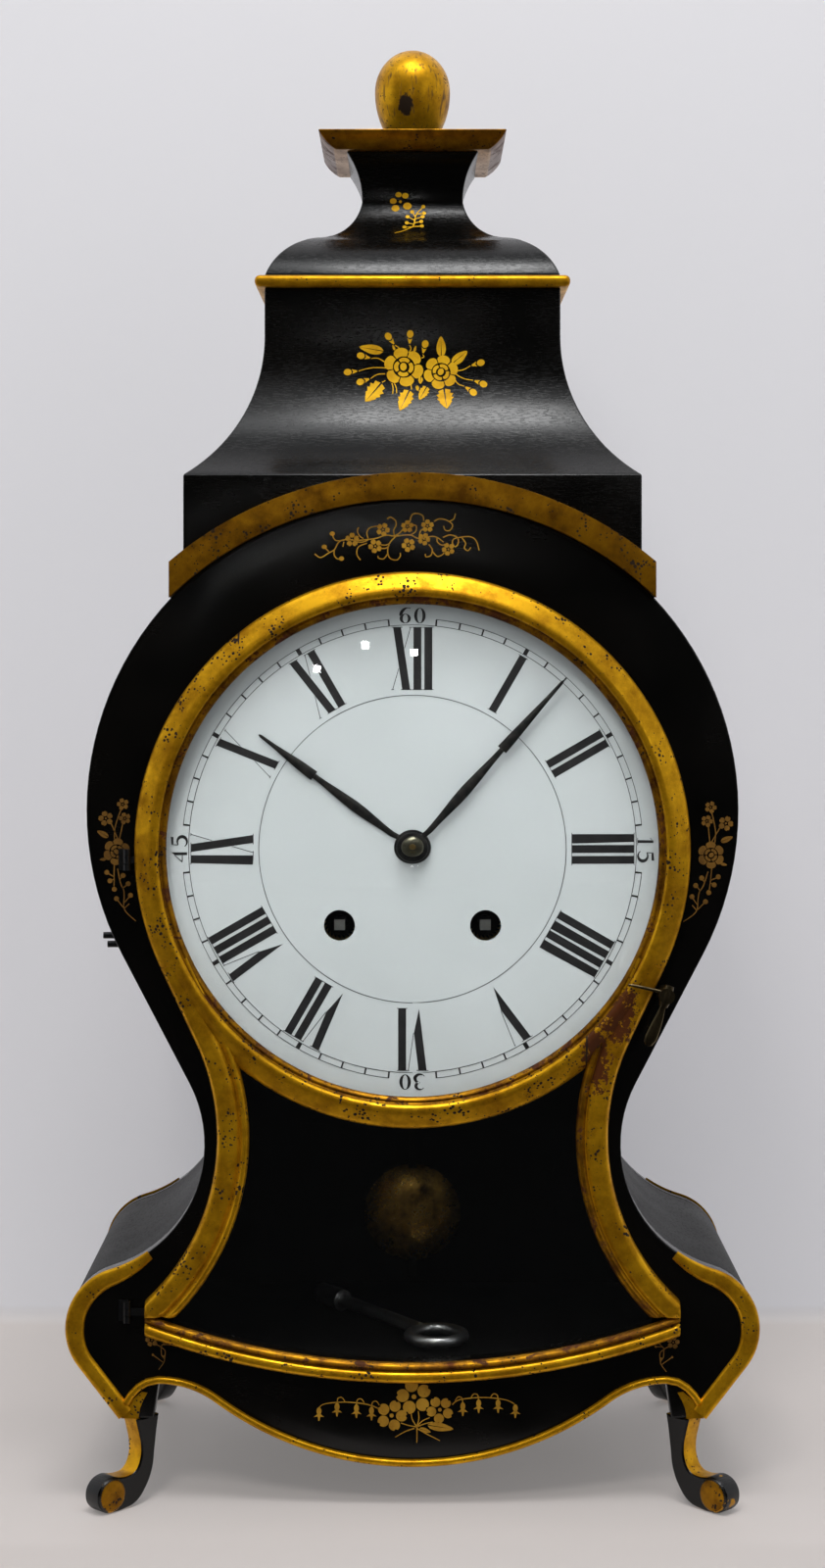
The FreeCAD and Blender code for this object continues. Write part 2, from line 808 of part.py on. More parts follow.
def wheel(centre, teeth, module, y0, thick, phase=0.0, bore=arbor_radius + fit):
    front = plate_rear + y0
    return toothed(centre, teeth, module, front, front + thick, phase, wheel_tooth, bore)


def pinion(centre, leaves, module, y0, thick, phase):
    front = plate_rear + y0
    return toothed(centre, leaves, module, front, front + thick, phase, pinion_tooth)


def meshed(driver, driven, driver_teeth, driven_teeth, phase=0.0):
    # The driven tooth angle that puts a tooth in the driver's gap on the line of centres.
    way = math.atan2(driven[1] - driver[1], driven[0] - driver[0])
    return way + math.pi - (driver_teeth * (phase - way) + math.pi) / driven_teeth


def arbor(centre, back=0.0):
    long = rod(centre, plate_rear + end_shake, back_plate_front - end_shake, arbor_radius)
    return joined(long, rod(centre, plate_front, back_plate_rear + back, pivot_radius))


def mobile(spindle, leaves, *wheels):
    # A pinion cut on its arbor, with the wheels that turn with it.
    bounds = leaves.BoundBox
    gap = box(bounds.XMin, bounds.XMax, bounds.YMin, bounds.YMax, bounds.ZMin, bounds.ZMax)
    return [*spindle.cut(gap).Solids, leaves, *wheels]


# Plates, pillars and seat
pivots_at = [intermediate_at, third_at, escape_at, second_at, pin_at, locking_at, fly_at, anchor_at]


def plate(y0, y1, holes):
    slab = box(-plate_half, plate_half, y0, y1, dial_z - plate_half, dial_z + plate_half)
    for centre, radius in holes:
        slab = slab.cut(rod(centre, y0, y1, radius + running))
    return slab


small_holes = [(centre, pivot_radius) for centre in pivots_at]
barrel_holes = [(going_barrel_at, winding_radius), (strike_barrel_at, winding_radius)]
centre_hole = [(dial_centre, arbor_radius)]
hammer_hole = [(hammer_at, arbor_radius)]
holes = small_holes + barrel_holes + centre_hole + hammer_hole
minute_stud = rod(minute_at, hour_y - stud_over, plate_front, arbor_radius)
export("front_plate", plate(plate_front, plate_rear, holes), minute_stud)
export("back_plate", plate(back_plate_front, back_plate_rear, holes))

pillar_far = plate_half - pillar_inset
pillar_spots = [(x * pillar_far, dial_z + z * pillar_far) for x in (-1, 1) for z in (-1, 1)]
export("pillars", *[rod(spot, plate_rear, back_plate_front, pillar_radius) for spot in pillar_spots])

seat_top = dial_z - plate_half
seat = box(-reach, reach, plate_front, seat_back, seat_top - seat_thick, seat_top)
export("seat_board", seat.common(case_core(wall, *wall_y, foot_top - wall)))


# Going and strike trains; depths are measured back from the front plate
def barrel(centre, phase=0.0):
    drum_front = plate_rear + drum_set
    drum_back = drum_front + barrel_long
    bore = winding_radius + running
    drum = tube(centre, drum_front, drum_back, barrel_radius, bore)
    drum = drum.cut(tube(centre, drum_front + barrel_wall, drum_back - barrel_wall,
                         barrel_radius - barrel_wall, winding_radius + running))
    rim = toothed(centre, great_teeth, great_module, drum_back, drum_back + great_thick, phase,
                  wheel_tooth, bore)
    return drum, rim


def mainspring(centre):
    front = plate_rear + drum_set + barrel_wall + spring_shake
    return tube(centre, front, front + barrel_long - 2 * (barrel_wall + spring_shake),
                barrel_radius - barrel_wall - fit, winding_radius + barrel_wall)


ratchet_y = plate_front - ratchet_set


def winding_arbor(centre):
    square = winding_square / 2
    tip = dial_rim_y + winding_sink
    core = rod(centre, ratchet_y - ratchet_thick - winding_collar, back_plate_rear, winding_radius)
    head = box(centre[0] - square, centre[0] + square, tip, ratchet_y - ratchet_thick,
               centre[1] - square, centre[1] + square)
    points = []
    for tooth in range(ratchet_teeth):
        angle = 2 * math.pi * tooth / ratchet_teeth
        points.append(polar(centre, ratchet_radius, angle))
        points.append(polar(centre, ratchet_radius - ratchet_tooth, angle))
    return joined(core, head, polygon(points, ratchet_y - ratchet_thick, ratchet_y))


def click(centre, side):
    # A pawl on a screw through the plate, its nose just clear of the ratchet.
    pivot = (centre[0] + side * click_x, centre[1])
    nose = (centre[0] + side * (ratchet_radius + click_gap), centre[1] + click_nose_rise)
    body = rod(pivot, ratchet_y - ratchet_thick, ratchet_y, click_eye)
    arm = bar(pivot, nose, ratchet_y - ratchet_thick, ratchet_y, click_half, click_nose_half)
    body = joined(body, arm)
    body = body.cut(rod(centre, ratchet_y - ratchet_thick, ratchet_y, ratchet_radius + click_gap))
    return joined(body, rod(pivot, ratchet_y, plate_front, click_screw))


going_drum, going_rim = barrel(going_barrel_at)
strike_drum, strike_rim = barrel(strike_barrel_at)
export("going_barrel", going_drum, going_rim)
export("strike_barrel", strike_drum, strike_rim)
export("going_mainspring", mainspring(going_barrel_at))
export("strike_mainspring", mainspring(strike_barrel_at))
export("going_winding_arbor", winding_arbor(going_barrel_at))
export("strike_winding_arbor", winding_arbor(strike_barrel_at))
export("going_click", click(going_barrel_at, 1))
export("strike_click", click(strike_barrel_at, -1))

great_y = barrel_long + drum_set
intermediate_y = great_y + wheel_step
strike_second_y = intermediate_y + wheel_step

phase = meshed(going_barrel_at, intermediate_at, great_teeth, second_leaves)
export("intermediate_wheel", *mobile(arbor(intermediate_at),
       pinion(intermediate_at, second_leaves, great_module, great_y - pinion_lead,
              great_pinion_thick, phase),
       wheel(intermediate_at, second_teeth, second_module, intermediate_y, wheel_thick)))

cannon_front = dial_rim_y - dial_rise - minute_lift
centre_arbor = rod(dial_centre, cannon_front - centre_over, back_plate_rear, arbor_radius)
phase = meshed(intermediate_at, dial_centre, second_teeth, centre_leaves)
export("centre_wheel", *mobile(centre_arbor,
       pinion(dial_centre, centre_leaves, second_module, intermediate_y - pinion_lead, pinion_thick, phase),
       wheel(dial_centre, centre_teeth, centre_module, centre_y, wheel_thick)))

phase = meshed(dial_centre, third_at, centre_teeth, third_leaves)
export("third_wheel", *mobile(arbor(third_at),
       pinion(third_at, third_leaves, centre_module, centre_y - pinion_lead, pinion_thick, phase),
       wheel(third_at, third_teeth, third_module, third_y, wheel_thick)))

phase = meshed(third_at, escape_at, third_teeth, escape_leaves)
escape_points = []
for tooth in range(escape_teeth):
    angle = 2 * math.pi * tooth / escape_teeth
    step = math.pi / escape_teeth
    escape_points.append(polar(escape_at, escape_radius - escape_tooth, angle - step))
    escape_points.append(polar(escape_at, escape_radius, angle))
escape_rim = polygon(escape_points, plate_rear + escape_y, plate_rear + escape_y + wheel_thick)
escape_bore = polygon(ring_points(escape_at, arbor_radius + fit, bore_sides),
                      plate_rear + escape_y, plate_rear + escape_y + wheel_thick)
export("escape_wheel", *mobile(arbor(escape_at),
       pinion(escape_at, escape_leaves, third_module, third_y - pinion_lead, pinion_thick, phase),
       escape_rim.cut(escape_bore)))

phase = meshed(strike_barrel_at, second_at, great_teeth, second_leaves)
export("second_wheel", *mobile(arbor(second_at),
       pinion(second_at, second_leaves, great_module, great_y - pinion_lead, great_pinion_thick, phase),
       wheel(second_at, second_teeth, second_module, strike_second_y, wheel_thick)))

phase = meshed(second_at, pin_at, second_teeth, centre_leaves)
export("pin_wheel", *mobile(arbor(pin_at),
       pinion(pin_at, centre_leaves, second_module, strike_second_y - pinion_lead, pinion_thick, phase),
       wheel(pin_at, pin_teeth, centre_module, pin_y, wheel_thick)))

phase = meshed(pin_at, locking_at, pin_teeth, third_leaves)
export("locking_wheel", *mobile(arbor(locking_at),
       pinion(locking_at, third_leaves, centre_module, pin_y - pinion_lead, pinion_thick, phase),
       wheel(locking_at, locking_teeth, third_module, locking_y, wheel_thick)))

phase = meshed(locking_at, fly_at, locking_teeth, fly_leaves)
fan_y = plate_rear + locking_y + fan_set
fan = box(fly_at[0] - fan_half, fly_at[0] + fan_half, fan_y, fan_y + fan_long,
          fly_at[1] - fan_half_thick, fly_at[1] + fan_half_thick)
export("fly", *mobile(arbor(fly_at),
       pinion(fly_at, fly_leaves, third_module, locking_y - pinion_lead, pinion_thick, phase),
       fan.cut(rod(fly_at, fan_y, fan_y + fan_long, arbor_radius + fit))))

# Motion work under the dial, and the hands
cannon_inner = arbor_radius + running
pipe_inner = cannon_radius + running
pipe_front = dial_rim_y - dial_rise - hour_lift
hour_hand_y = pipe_front + hand_set
minute_hand_y = cannon_front + hand_set

cannon_tube = tube(dial_centre, cannon_front, plate_front - motion_gap, cannon_radius, cannon_inner)
export("cannon_pinion", cannon_tube,
       toothed(dial_centre, cannon_leaves, motion_module, cannon_y, cannon_y + cannon_thick, 0.0,
               pinion_tooth, cannon_radius + fit))
phase = meshed(dial_centre, minute_at, cannon_leaves, minute_teeth)
minute_leaf_phase = 0.0
stud_bore = arbor_radius + running
rim_front = cannon_y + end_shake
rim_back = rim_front + wheel_thick
minute_rim = toothed(minute_at, minute_teeth, motion_module, rim_front, rim_back, phase, wheel_tooth,
                     pipe_inner)
minute_pinion = toothed(minute_at, minute_leaves, hour_module, hour_y - leaf_over, rim_front,
                        minute_leaf_phase, pinion_tooth, arbor_radius + motion_gap)
minute_pipe = tube(minute_at, rim_front, rim_back, cannon_radius, stud_bore)
export("minute_wheel", minute_rim, minute_pinion, minute_pipe)

phase = meshed(minute_at, dial_centre, minute_leaves, hour_teeth, minute_leaf_phase)
hour_pipe = tube(dial_centre, pipe_front, hour_y + wheel_thick, pipe_radius, pipe_inner)
hour_rim = toothed(dial_centre, hour_teeth, hour_module, hour_y, hour_y + wheel_thick, phase, wheel_tooth,
                   pipe_radius + fit)
export("hour_wheel", hour_pipe, hour_rim)


def hand(length, shoulder, hub, bore, y, degrees):
    half = hand_width / 2
    right = [(half * hand_root_share, hub / 2), (half, shoulder / 2)]
    right += [(half * hand_neck_share, shoulder - hand_neck_drop)]
    right += [(hand_shoulder_width / 2, shoulder), (hand_tip_half, length)]
    points = right + [(-x, z) for x, z in reversed(right)]
    blade = polygon(points, y, y + hand_thick)
    blade = joined(blade, rod((0, 0), y, y + hand_thick, hub)).cut(rod((0, 0), y, y + hand_thick, bore))
    blade.rotate(Vector(0, 0, 0), Vector(0, 1, 0), degrees)
    blade.translate(at(dial_centre))
    return blade


hour_hand = hand(hour_length, hour_shoulder, hour_hub, pipe_radius + fit, hour_hand_y, hour_angle)
export("hour_hand", hour_hand)
minute_bore = cannon_radius + fit
minute_hand = hand(minute_length, minute_shoulder, minute_hub, minute_bore, minute_hand_y, minute_angle)
export("minute_hand", minute_hand)

# Dial with its feet, which reach the front plate
dial = domed(dial_radius - dial_edge, dial_radius, dial_rim_y, dial_rise, dial_thick)
dial = dial.cut(rod(dial_centre, door_back, plate_front, dial_hole))
for barrel_at in (going_barrel_at, strike_barrel_at):
    dial = dial.cut(rod(barrel_at, door_back, plate_front, winding_hole))
foot_far = pillar_far - 2 * pillar_inset
foot_spots = [(-foot_far, dial_z + foot_far), (foot_far, dial_z + foot_far), (0, dial_z - foot_far)]
dial_feet = [rod(spot, dial_rim_y, plate_front, dial_foot_radius) for spot in foot_spots]
export("dial", dial, *[foot_rod.cut(dial) for foot_rod in dial_feet])

# Anchor, crutch and pendulum swing together
pallet_y = plate_rear + escape_y
pallet_radius = escape_radius + pallet_gap
pallet_angle = math.radians(pallet_degrees)
pallet_back = pallet_y + pallet_thick
pallet_angles = [math.pi / 2 - pallet_angle, math.pi / 2 + pallet_angle]
pallets = [polar(escape_at, pallet_radius + pallet_bite, angle) for angle in pallet_angles]
anchor_arms = joined(rod(anchor_at, pallet_y, pallet_back, anchor_hub),
                     *[bar(anchor_at, spot, pallet_y, pallet_back, anchor_half, pallet_half)
                       for spot in pallets])
anchor_arms = anchor_arms.cut(rod(escape_at, pallet_y, pallet_back, pallet_radius))
anchor_arms = anchor_arms.cut(rod(anchor_at, pallet_y, pallet_back, arbor_radius + fit))
crutch_y = back_plate_rear + crutch_set
crutch_back = crutch_y + crutch_thick
crutch_foot = (0.0, dial_z - crutch_drop)
crutch = joined(rod(anchor_at, crutch_y, crutch_back, crutch_hub),
                bar(anchor_at, crutch_foot, crutch_y, crutch_back, crutch_half, crutch_half),
                rod(crutch_foot, crutch_y, pendulum_y - rod_thick / 2, crutch_half))
crutch = crutch.cut(rod(anchor_at, crutch_y, crutch_back, pivot_radius + fit))
export("anchor", arbor(anchor_at, back=crutch_set + crutch_thick + motion_gap), anchor_arms, crutch)

spring_low = anchor_at[1] - spring_long
rod_low = bob_z - bob_radius - rod_over
spring_y = (pendulum_y - spring_half_thick, pendulum_y + spring_half_thick)
export("suspension_spring", box(-spring_half, spring_half, *spring_y, spring_low, anchor_at[1]))
rod_half = rod_thick / 2
rod_y = (pendulum_y - rod_half, pendulum_y + rod_half)
export("pendulum_rod", box(-rod_wide / 2, rod_wide / 2, *rod_y, rod_low, spring_low))
bob_at = (0.0, bob_z)
bob_half = bob_thick / 2
bob_edges = [bowed((bob_radius, pendulum_y), (0, pendulum_y - bob_half), bob_bow)]
bob_edges += [bowed((0, pendulum_y + bob_half), (bob_radius, pendulum_y), bob_bow)]
bob_edges += lines((0, pendulum_y - bob_half), (0, pendulum_y + bob_half))
slot = box(-rod_wide / 2 - fit, rod_wide / 2 + fit, pendulum_y - rod_thick / 2 - fit,
           pendulum_y + rod_thick / 2 + fit, rod_low, spring_low)
export("pendulum_bob", spun(bob_edges, bob_at).cut(slot))

# Back cock holds the suspension spring over the back plate
cock_under = anchor_at[1] + crutch_hub + cock_clear
cock_top = cock_under + cock_thick
cock = box(-cock_half, cock_half, back_plate_rear, pendulum_y + cock_thick, cock_under, cock_top)
clamp = box(-cock_thick, cock_thick, pendulum_y - rod_thick, pendulum_y + rod_thick,
            anchor_at[1] + end_shake, cock_under)
leg_y = (back_plate_rear, back_plate_rear + cock_thick)
leg_low = anchor_at[1] - cock_half
cock_legs = [box(x, x + cock_thick, *leg_y, leg_low, cock_top) for x in (-cock_half, cock_half - cock_thick)]
export("back_cock", joined(cock, clamp, *cock_legs))

# Bell on its stand, and the hammer beside it
stand_base = bell_z - stand_bar - bell_stand_drop
bell_top = bell_z + bell_high
stand_low = dial_z + plate_half - stand_x
stand = joined(box(stand_x - stand_bar, stand_x + stand_bar, *leg_y, stand_low, stand_base),
               box(-stand_bar, stand_x + stand_bar, back_plate_rear, bell_y + stand_bar,
                   stand_base, stand_base + stand_bar),
               upright(0, bell_y, stand_base, bell_top - bell_wall, stand_radius + bell_wall / 2),
               upright(0, bell_y, stand_base, bell_top + stand_bar, stand_radius))
export("bell_stand", stand)


def bell_cup(radius, top):
    crown = radius * bell_crown_share
    edges = lines((0, bell_z), (radius, bell_z)) + [bowed((radius, bell_z), (crown, top), -bell_bow)]
    edges += lines((crown, top), (0, top), (0, bell_z))
    cup = Part.Face(Part.Wire(Part.__sortEdges__(edges))).revolve(Vector(0, 0, 0), Vector(0, 0, 1), 360)
    cup.translate(Vector(0, bell_y, 0))
    return cup


bell = bell_cup(bell_radius, bell_top).cut(bell_cup(bell_radius - bell_wall, bell_top - bell_wall))
export("bell", bell.cut(upright(0, bell_y, bell_z, bell_top + bell_wall, stand_radius + fit)))

head_z = bell_z + hammer_head_rise
head_tip = -bell_radius - hammer_gap
stem_x = head_tip - hammer_head_long / 2
hammer_collar = rod(hammer_at, plate_rear + end_shake, back_plate_front - end_shake, 2 * pivot_radius)
hammer_arbor = joined(rod(hammer_at, plate_front, bell_y + hammer_over, arbor_radius), hammer_collar)
stem = bar(hammer_at, (stem_x, head_z), bell_y - hammer_half_thick, bell_y + hammer_half_thick,
           hammer_half, hammer_neck_half)
head = Part.makeCylinder(hammer_head_radius, hammer_head_long,
                         Vector(head_tip - hammer_head_long, bell_y, head_z), Vector(1, 0, 0))
export("hammer", joined(hammer_arbor, stem, head))

# Winding key, lying on the case floor
def along(x0, x1, radius):
    return Part.makeCylinder(radius, x1 - x0, Vector(x0, 0, 0), Vector(1, 0, 0))


half_square = winding_square / 2 + 2 * running
key = joined(along(key_bow_radius, key_long, key_radius),
             along(key_long - key_pipe, key_long, key_radius + key_wall),
             Part.makeTorus(key_bow_radius, key_radius - key_wall / 4))
socket_corner = Vector(key_long - key_socket, -half_square, -half_square)
key = key.cut(Part.makeBox(key_socket, 2 * half_square, 2 * half_square, socket_corner))
key.rotate(Vector(0, 0, 0), Vector(0, 0, 1), key_angle)
key.translate(Vector(key_bow[0], key_bow[1], floor_z + key_radius + key_wall + fit))
export("winding_key", key)
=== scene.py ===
import math

import bpy
from mathutils import Matrix, Vector


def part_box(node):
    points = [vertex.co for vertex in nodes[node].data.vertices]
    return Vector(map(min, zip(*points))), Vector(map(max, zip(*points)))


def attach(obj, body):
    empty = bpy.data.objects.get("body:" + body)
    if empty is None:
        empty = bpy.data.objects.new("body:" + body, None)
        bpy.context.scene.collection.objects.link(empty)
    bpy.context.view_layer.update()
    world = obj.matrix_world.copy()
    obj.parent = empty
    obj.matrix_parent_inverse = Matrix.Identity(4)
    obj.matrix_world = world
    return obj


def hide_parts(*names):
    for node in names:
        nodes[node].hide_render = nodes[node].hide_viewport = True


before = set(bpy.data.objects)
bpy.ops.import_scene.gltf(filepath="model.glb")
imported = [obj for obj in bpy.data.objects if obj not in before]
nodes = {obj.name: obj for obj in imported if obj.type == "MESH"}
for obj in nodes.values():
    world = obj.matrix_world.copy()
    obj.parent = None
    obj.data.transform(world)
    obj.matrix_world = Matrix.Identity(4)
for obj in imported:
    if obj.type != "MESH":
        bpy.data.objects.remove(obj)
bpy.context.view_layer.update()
mm = 0.001


# Studio: a pale sweep of painted board, softboxes and the camera of the picture.
# The board runs from the table under the clock up behind it, so the clock's shadows stay on it.
# A black cloth before the clock shows only in reflections, as the dark room of the picture does.
board_colour = (0.80, 0.795, 0.82, 1.0)
board_shade = [c * 0.97 for c in board_colour[:3]] + [1.0]
table_colour = (0.64, 0.585, 0.56, 1.0)
table_seen = (0.60, 0.57, 0.555, 1.0)
board_seen = (0.70, 0.70, 0.745, 1.0)
seen_glow = 0.3
board_far = 0.235
board_wide = 7.0
board_deep = 6.0
board_high = 4.5
board_cove = 0.008
flag_black = (0.004, 0.004, 0.004, 1.0)
flag_near = -0.13
flag_far = -2.0
flag_wide = 8.0
flag_high = 2.4
flag_lift = 0.002
sky_tint = (0.93, 0.96, 1.0)
sky_seen = 0.68
white = (1.0, 1.0, 1.0)
warm_white = (1.0, 0.98, 0.95)
cool_white = (0.93, 0.96, 1.0)
dim_white = (0.96, 0.98, 1.0)
camera_far = 1280.0 * mm
camera_high = 394.0 * mm
camera_lens = 61.4
camera_rise = -0.1


def only(piece):
    """Selects one piece and nothing else, in object mode."""
    if bpy.context.mode != "OBJECT":
        bpy.ops.object.mode_set(mode="OBJECT")
    bpy.ops.object.select_all(action="DESELECT")
    piece.select_set(True)
    bpy.context.view_layer.objects.active = piece
    return piece


def settle(piece, name):
    """Leaves a piece at the origin, unturned, under its own name."""
    only(piece)
    bpy.ops.object.transform_apply(location=True, rotation=True, scale=True)
    piece.name = name
    piece.data.name = name
    return piece


def placed_object(name, data):
    """A new object of some data, in the scene."""
    made = bpy.data.objects.new(name, data)
    bpy.context.scene.collection.objects.link(made)
    return made


def new_material(name):
    """A material with its node tree and its Principled shader."""
    material = bpy.data.materials.new(name)
    material.use_nodes = True
    tree = material.node_tree
    return material, tree, tree.nodes["Principled BSDF"]


def feed(tree, node, inputs):
    """Sets each named socket of a node to a value, or links another socket into it."""
    for key, source in inputs.items():
        if isinstance(source, bpy.types.NodeSocket):
            tree.links.new(source, node.inputs[key])
        else:
            node.inputs[key].default_value = source


def add(tree, kind, inputs=None, **settings):
    """Places one shader node and sets its properties and sockets."""
    made = tree.nodes.new("ShaderNode" + kind)
    for key, value in settings.items():
        setattr(made, key, value)
    feed(tree, made, inputs or {})
    return made


def own_place(tree):
    """The place of a point in its piece."""
    return add(tree, "TexCoord").outputs["Object"]


def noise(tree, place, scale, detail, **more):
    """A cloudy pattern."""
    return add(tree, "TexNoise", {"Vector": place, "Scale": scale, "Detail": detail, **more}).outputs["Fac"]


def span(tree, value, low, high, start=0.0, end=1.0):
    """A value brought from one span to another."""
    ends = {"From Min": low, "From Max": high, "To Min": start, "To Max": end}
    return add(tree, "MapRange", {"Value": value, **ends}).outputs["Result"]


def sums(tree, operation, *terms):
    """One step of arithmetic on numbers or sockets."""
    return add(tree, "Math", dict(enumerate(terms)), operation=operation).outputs["Value"]


def blend(tree, share, under, over, **settings):
    """One colour laid over another."""
    colours = {"Fac": share, "Color1": under, "Color2": over}
    return add(tree, "MixRGB", colours, **settings).outputs["Color"]


def shades(tree, value, first, last, low=0.0, high=1.0):
    """A colour that runs from one shade to another along a value."""
    ramp = add(tree, "ValToRGB", {"Fac": value})
    for stop, position, shade in zip(ramp.color_ramp.elements, (low, high), (first, last)):
        stop.position = position
        stop.color = shade
    return ramp.outputs["Color"]


def two_shaders(tree, share, first, second):
    """Ends a material in a mixture of two shaders."""
    both = add(tree, "MixShader", {0: share, 1: first, 2: second}).outputs["Shader"]
    feed(tree, tree.nodes["Material Output"], {"Surface": both})
    return both


def seen_rays(tree):
    """One for rays from the camera, straight, mirrored or through glass, and nought for others."""
    path = add(tree, "LightPath").outputs
    mirrored = sums(tree, "MAXIMUM", path["Is Glossy Ray"], path["Is Transmission Ray"])
    return sums(tree, "MAXIMUM", path["Is Camera Ray"], mirrored)


def dress(piece, *materials):
    """Gives the whole piece the first material, and slots for the others."""
    piece.data.materials.clear()
    for material in materials:
        piece.data.materials.append(material)
    return piece


def pick(piece, test, kind):
    """Selects the edges or faces whose points all pass a test, in edit mode."""
    bpy.ops.object.mode_set(mode="OBJECT")
    mesh = piece.data
    for part in (mesh.vertices, mesh.edges, mesh.polygons):
        part.foreach_set("select", [False] * len(part))
    for part in getattr(mesh, kind):
        part.select = all(test(mesh.vertices[v].co) for v in part.vertices)
    bpy.ops.object.mode_set(mode="EDIT")
    bpy.ops.mesh.select_mode(type={"edges": "EDGE", "polygons": "FACE"}[kind])


def standing_sheet(wide, near, far, lift, high):
    """A flat sheet whose far edge is pulled upright."""
    bpy.ops.object.select_all(action="DESELECT")
    bpy.ops.mesh.primitive_plane_add(size=1, location=(0, (near + far) / 2, lift))
    sheet = bpy.context.object
    sheet.scale = (wide, abs(far - near), 1)
    bpy.ops.object.transform_apply(location=True, scale=True)
    pick(sheet, lambda p: abs(p.y - far) < mm, "edges")
    bpy.ops.mesh.extrude_region_move(TRANSFORM_OT_translate={"value": (0, 0, high)})
    return sheet


board = standing_sheet(board_wide, board_far - board_deep, board_far, 0, board_high)
pick(board, lambda p: abs(p.y - board_far) < mm and abs(p.z) < mm, "edges")
bpy.ops.mesh.bevel(offset=board_cove, segments=6)
bpy.ops.object.mode_set(mode="OBJECT")
bpy.ops.object.shade_smooth()
settle(board, "studio_board")
board_paint, tree, shader = new_material("board_paint")
spot = own_place(tree)
tint = shades(tree, noise(tree, spot, 2.0, 4.0), board_shade, board_colour)
stands = span(tree, add(tree, "SeparateXYZ", {"Vector": spot}).outputs["Z"], 0.0, 0.01)
feed(tree, shader, {"Base Color": blend(tree, stands, table_colour, tint), "Roughness": 0.55})
glow = add(tree, "Emission", {"Color": blend(tree, stands, table_seen, board_seen), "Strength": 1.0})
share = sums(tree, "MULTIPLY", seen_rays(tree), seen_glow)
lit = two_shaders(tree, share, shader.outputs["BSDF"], glow.outputs["Emission"])
behind = add(tree, "NewGeometry").outputs["Backfacing"]
two_shaders(tree, behind, lit, add(tree, "BsdfTransparent").outputs["BSDF"])
dress(board, board_paint)

flag = settle(standing_sheet(flag_wide, flag_near, flag_far, flag_lift, flag_high), "black_flag")
flag_cloth, tree, shader = new_material("flag_cloth")
feed(tree, shader, {"Base Color": flag_black, "Roughness": 1.0})
mirrored = sums(tree, "GREATER_THAN", add(tree, "LightPath").outputs["Glossy Depth"], 0.5)
two_shaders(tree, mirrored, add(tree, "BsdfTransparent").outputs["BSDF"], shader.outputs["BSDF"])
dress(flag, flag_cloth)
for ray in ("camera", "diffuse", "shadow"):
    setattr(flag, "visible_" + ray, False)

world = bpy.data.worlds.new("studio")
bpy.context.scene.world = world
world.use_nodes = True
tree = world.node_tree
way = add(tree, "TexCoord").outputs["Generated"]
axes = add(tree, "SeparateXYZ", {"Vector": way}).outputs
climb = span(tree, axes["Z"], -0.2, 0.9, 0.12, 0.85)
level = sums(tree, "MULTIPLY", climb, span(tree, axes["Y"], -1.0, 0.1, 0.22, 1.0))
cool = add(tree, "CombineColor", dict(zip(("Red", "Green", "Blue"), sky_tint))).outputs["Color"]
pale = add(tree, "Mix", {"Factor": seen_rays(tree), "A": level, "B": sky_seen}).outputs["Result"]
feed(tree, tree.nodes["Background"], {"Color": cool, "Strength": pale})


def softbox(name, place, aim, wide, high, power, colour):
    """One rectangular lamp turned towards a point."""
    lamp_data = bpy.data.lights.new(name, "AREA")
    lamp_data.shape = "RECTANGLE"
    lamp_data.size = wide
    lamp_data.size_y = high
    lamp_data.energy = power
    lamp_data.color = colour
    lamp = placed_object(name, lamp_data)
    lamp.location = place
    lamp.rotation_euler = (Vector(aim) - Vector(place)).to_track_quat("-Z", "Y").to_euler()
    return lamp


key = softbox("key_box", (-0.35, -1.4, 1.6), (0, 0, 0.35), 0.4, 0.4, 9.5, warm_white)
key.visible_glossy = False
softbox("fill_box", (1.5, -1.6, 1.0), (0, 0, 0.3), 0.9, 0.9, 2.4, cool_white)
softbox("top_box", (0.1, -0.75, 2.05), (0, 0, 0.4), 0.7, 0.5, 14.0, white)
softbox("back_box", (0.0, -0.6, 2.4), (0, 0.4, 0.6), 2.4, 0.5, 8.0, dim_white)
for name, place, power in (("front_lamp", (0.005, -1.45, 0.735), 0.15), ("left_lamp", (-0.27, -1.45, 0.69), 0.12),
                           ("high_lamp", (-0.134, -1.45, 0.757), 0.07)):
    softbox(name, place, (0, 0, 0.3), 0.02, 0.02, power, white)

camera_data = bpy.data.cameras.new("camera")
camera_data.lens = camera_lens
camera_data.shift_y = camera_rise
camera = placed_object("camera", camera_data)
camera.location = (0, -camera_far, camera_high)
camera.rotation_euler = (math.pi / 2, 0, 0)
bpy.context.scene.camera = camera
bpy.context.scene.view_settings.view_transform = "Standard"


# Case: front panel, bowed side walls, back board and floor, sawn from beech and glued.
# The outside is black lacquer rubbed smooth, through which the pores of the wood still show.
case_pieces = {"front_panel": 0.8, "left_side": 0.5, "right_side": 0.5, "back_board": 0.8}
inner_depth = 0.9
lacquer_black = (0.0012, 0.0012, 0.0010, 1.0)
lacquer_brown = (0.0026, 0.0021, 0.0016, 1.0)
# Near-black for the inside of the case: painted shade for the dark inside of the closed case.
inside_painted_shade = (0.0014, 0.0013, 0.0012, 1.0)
arris = math.radians(32)
number = "NodeSocketFloat"


def opened(piece):
    """Opens a piece for editing with all of it selected."""
    only(piece)
    bpy.ops.object.mode_set(mode="EDIT")
    bpy.ops.mesh.select_all(action="SELECT")


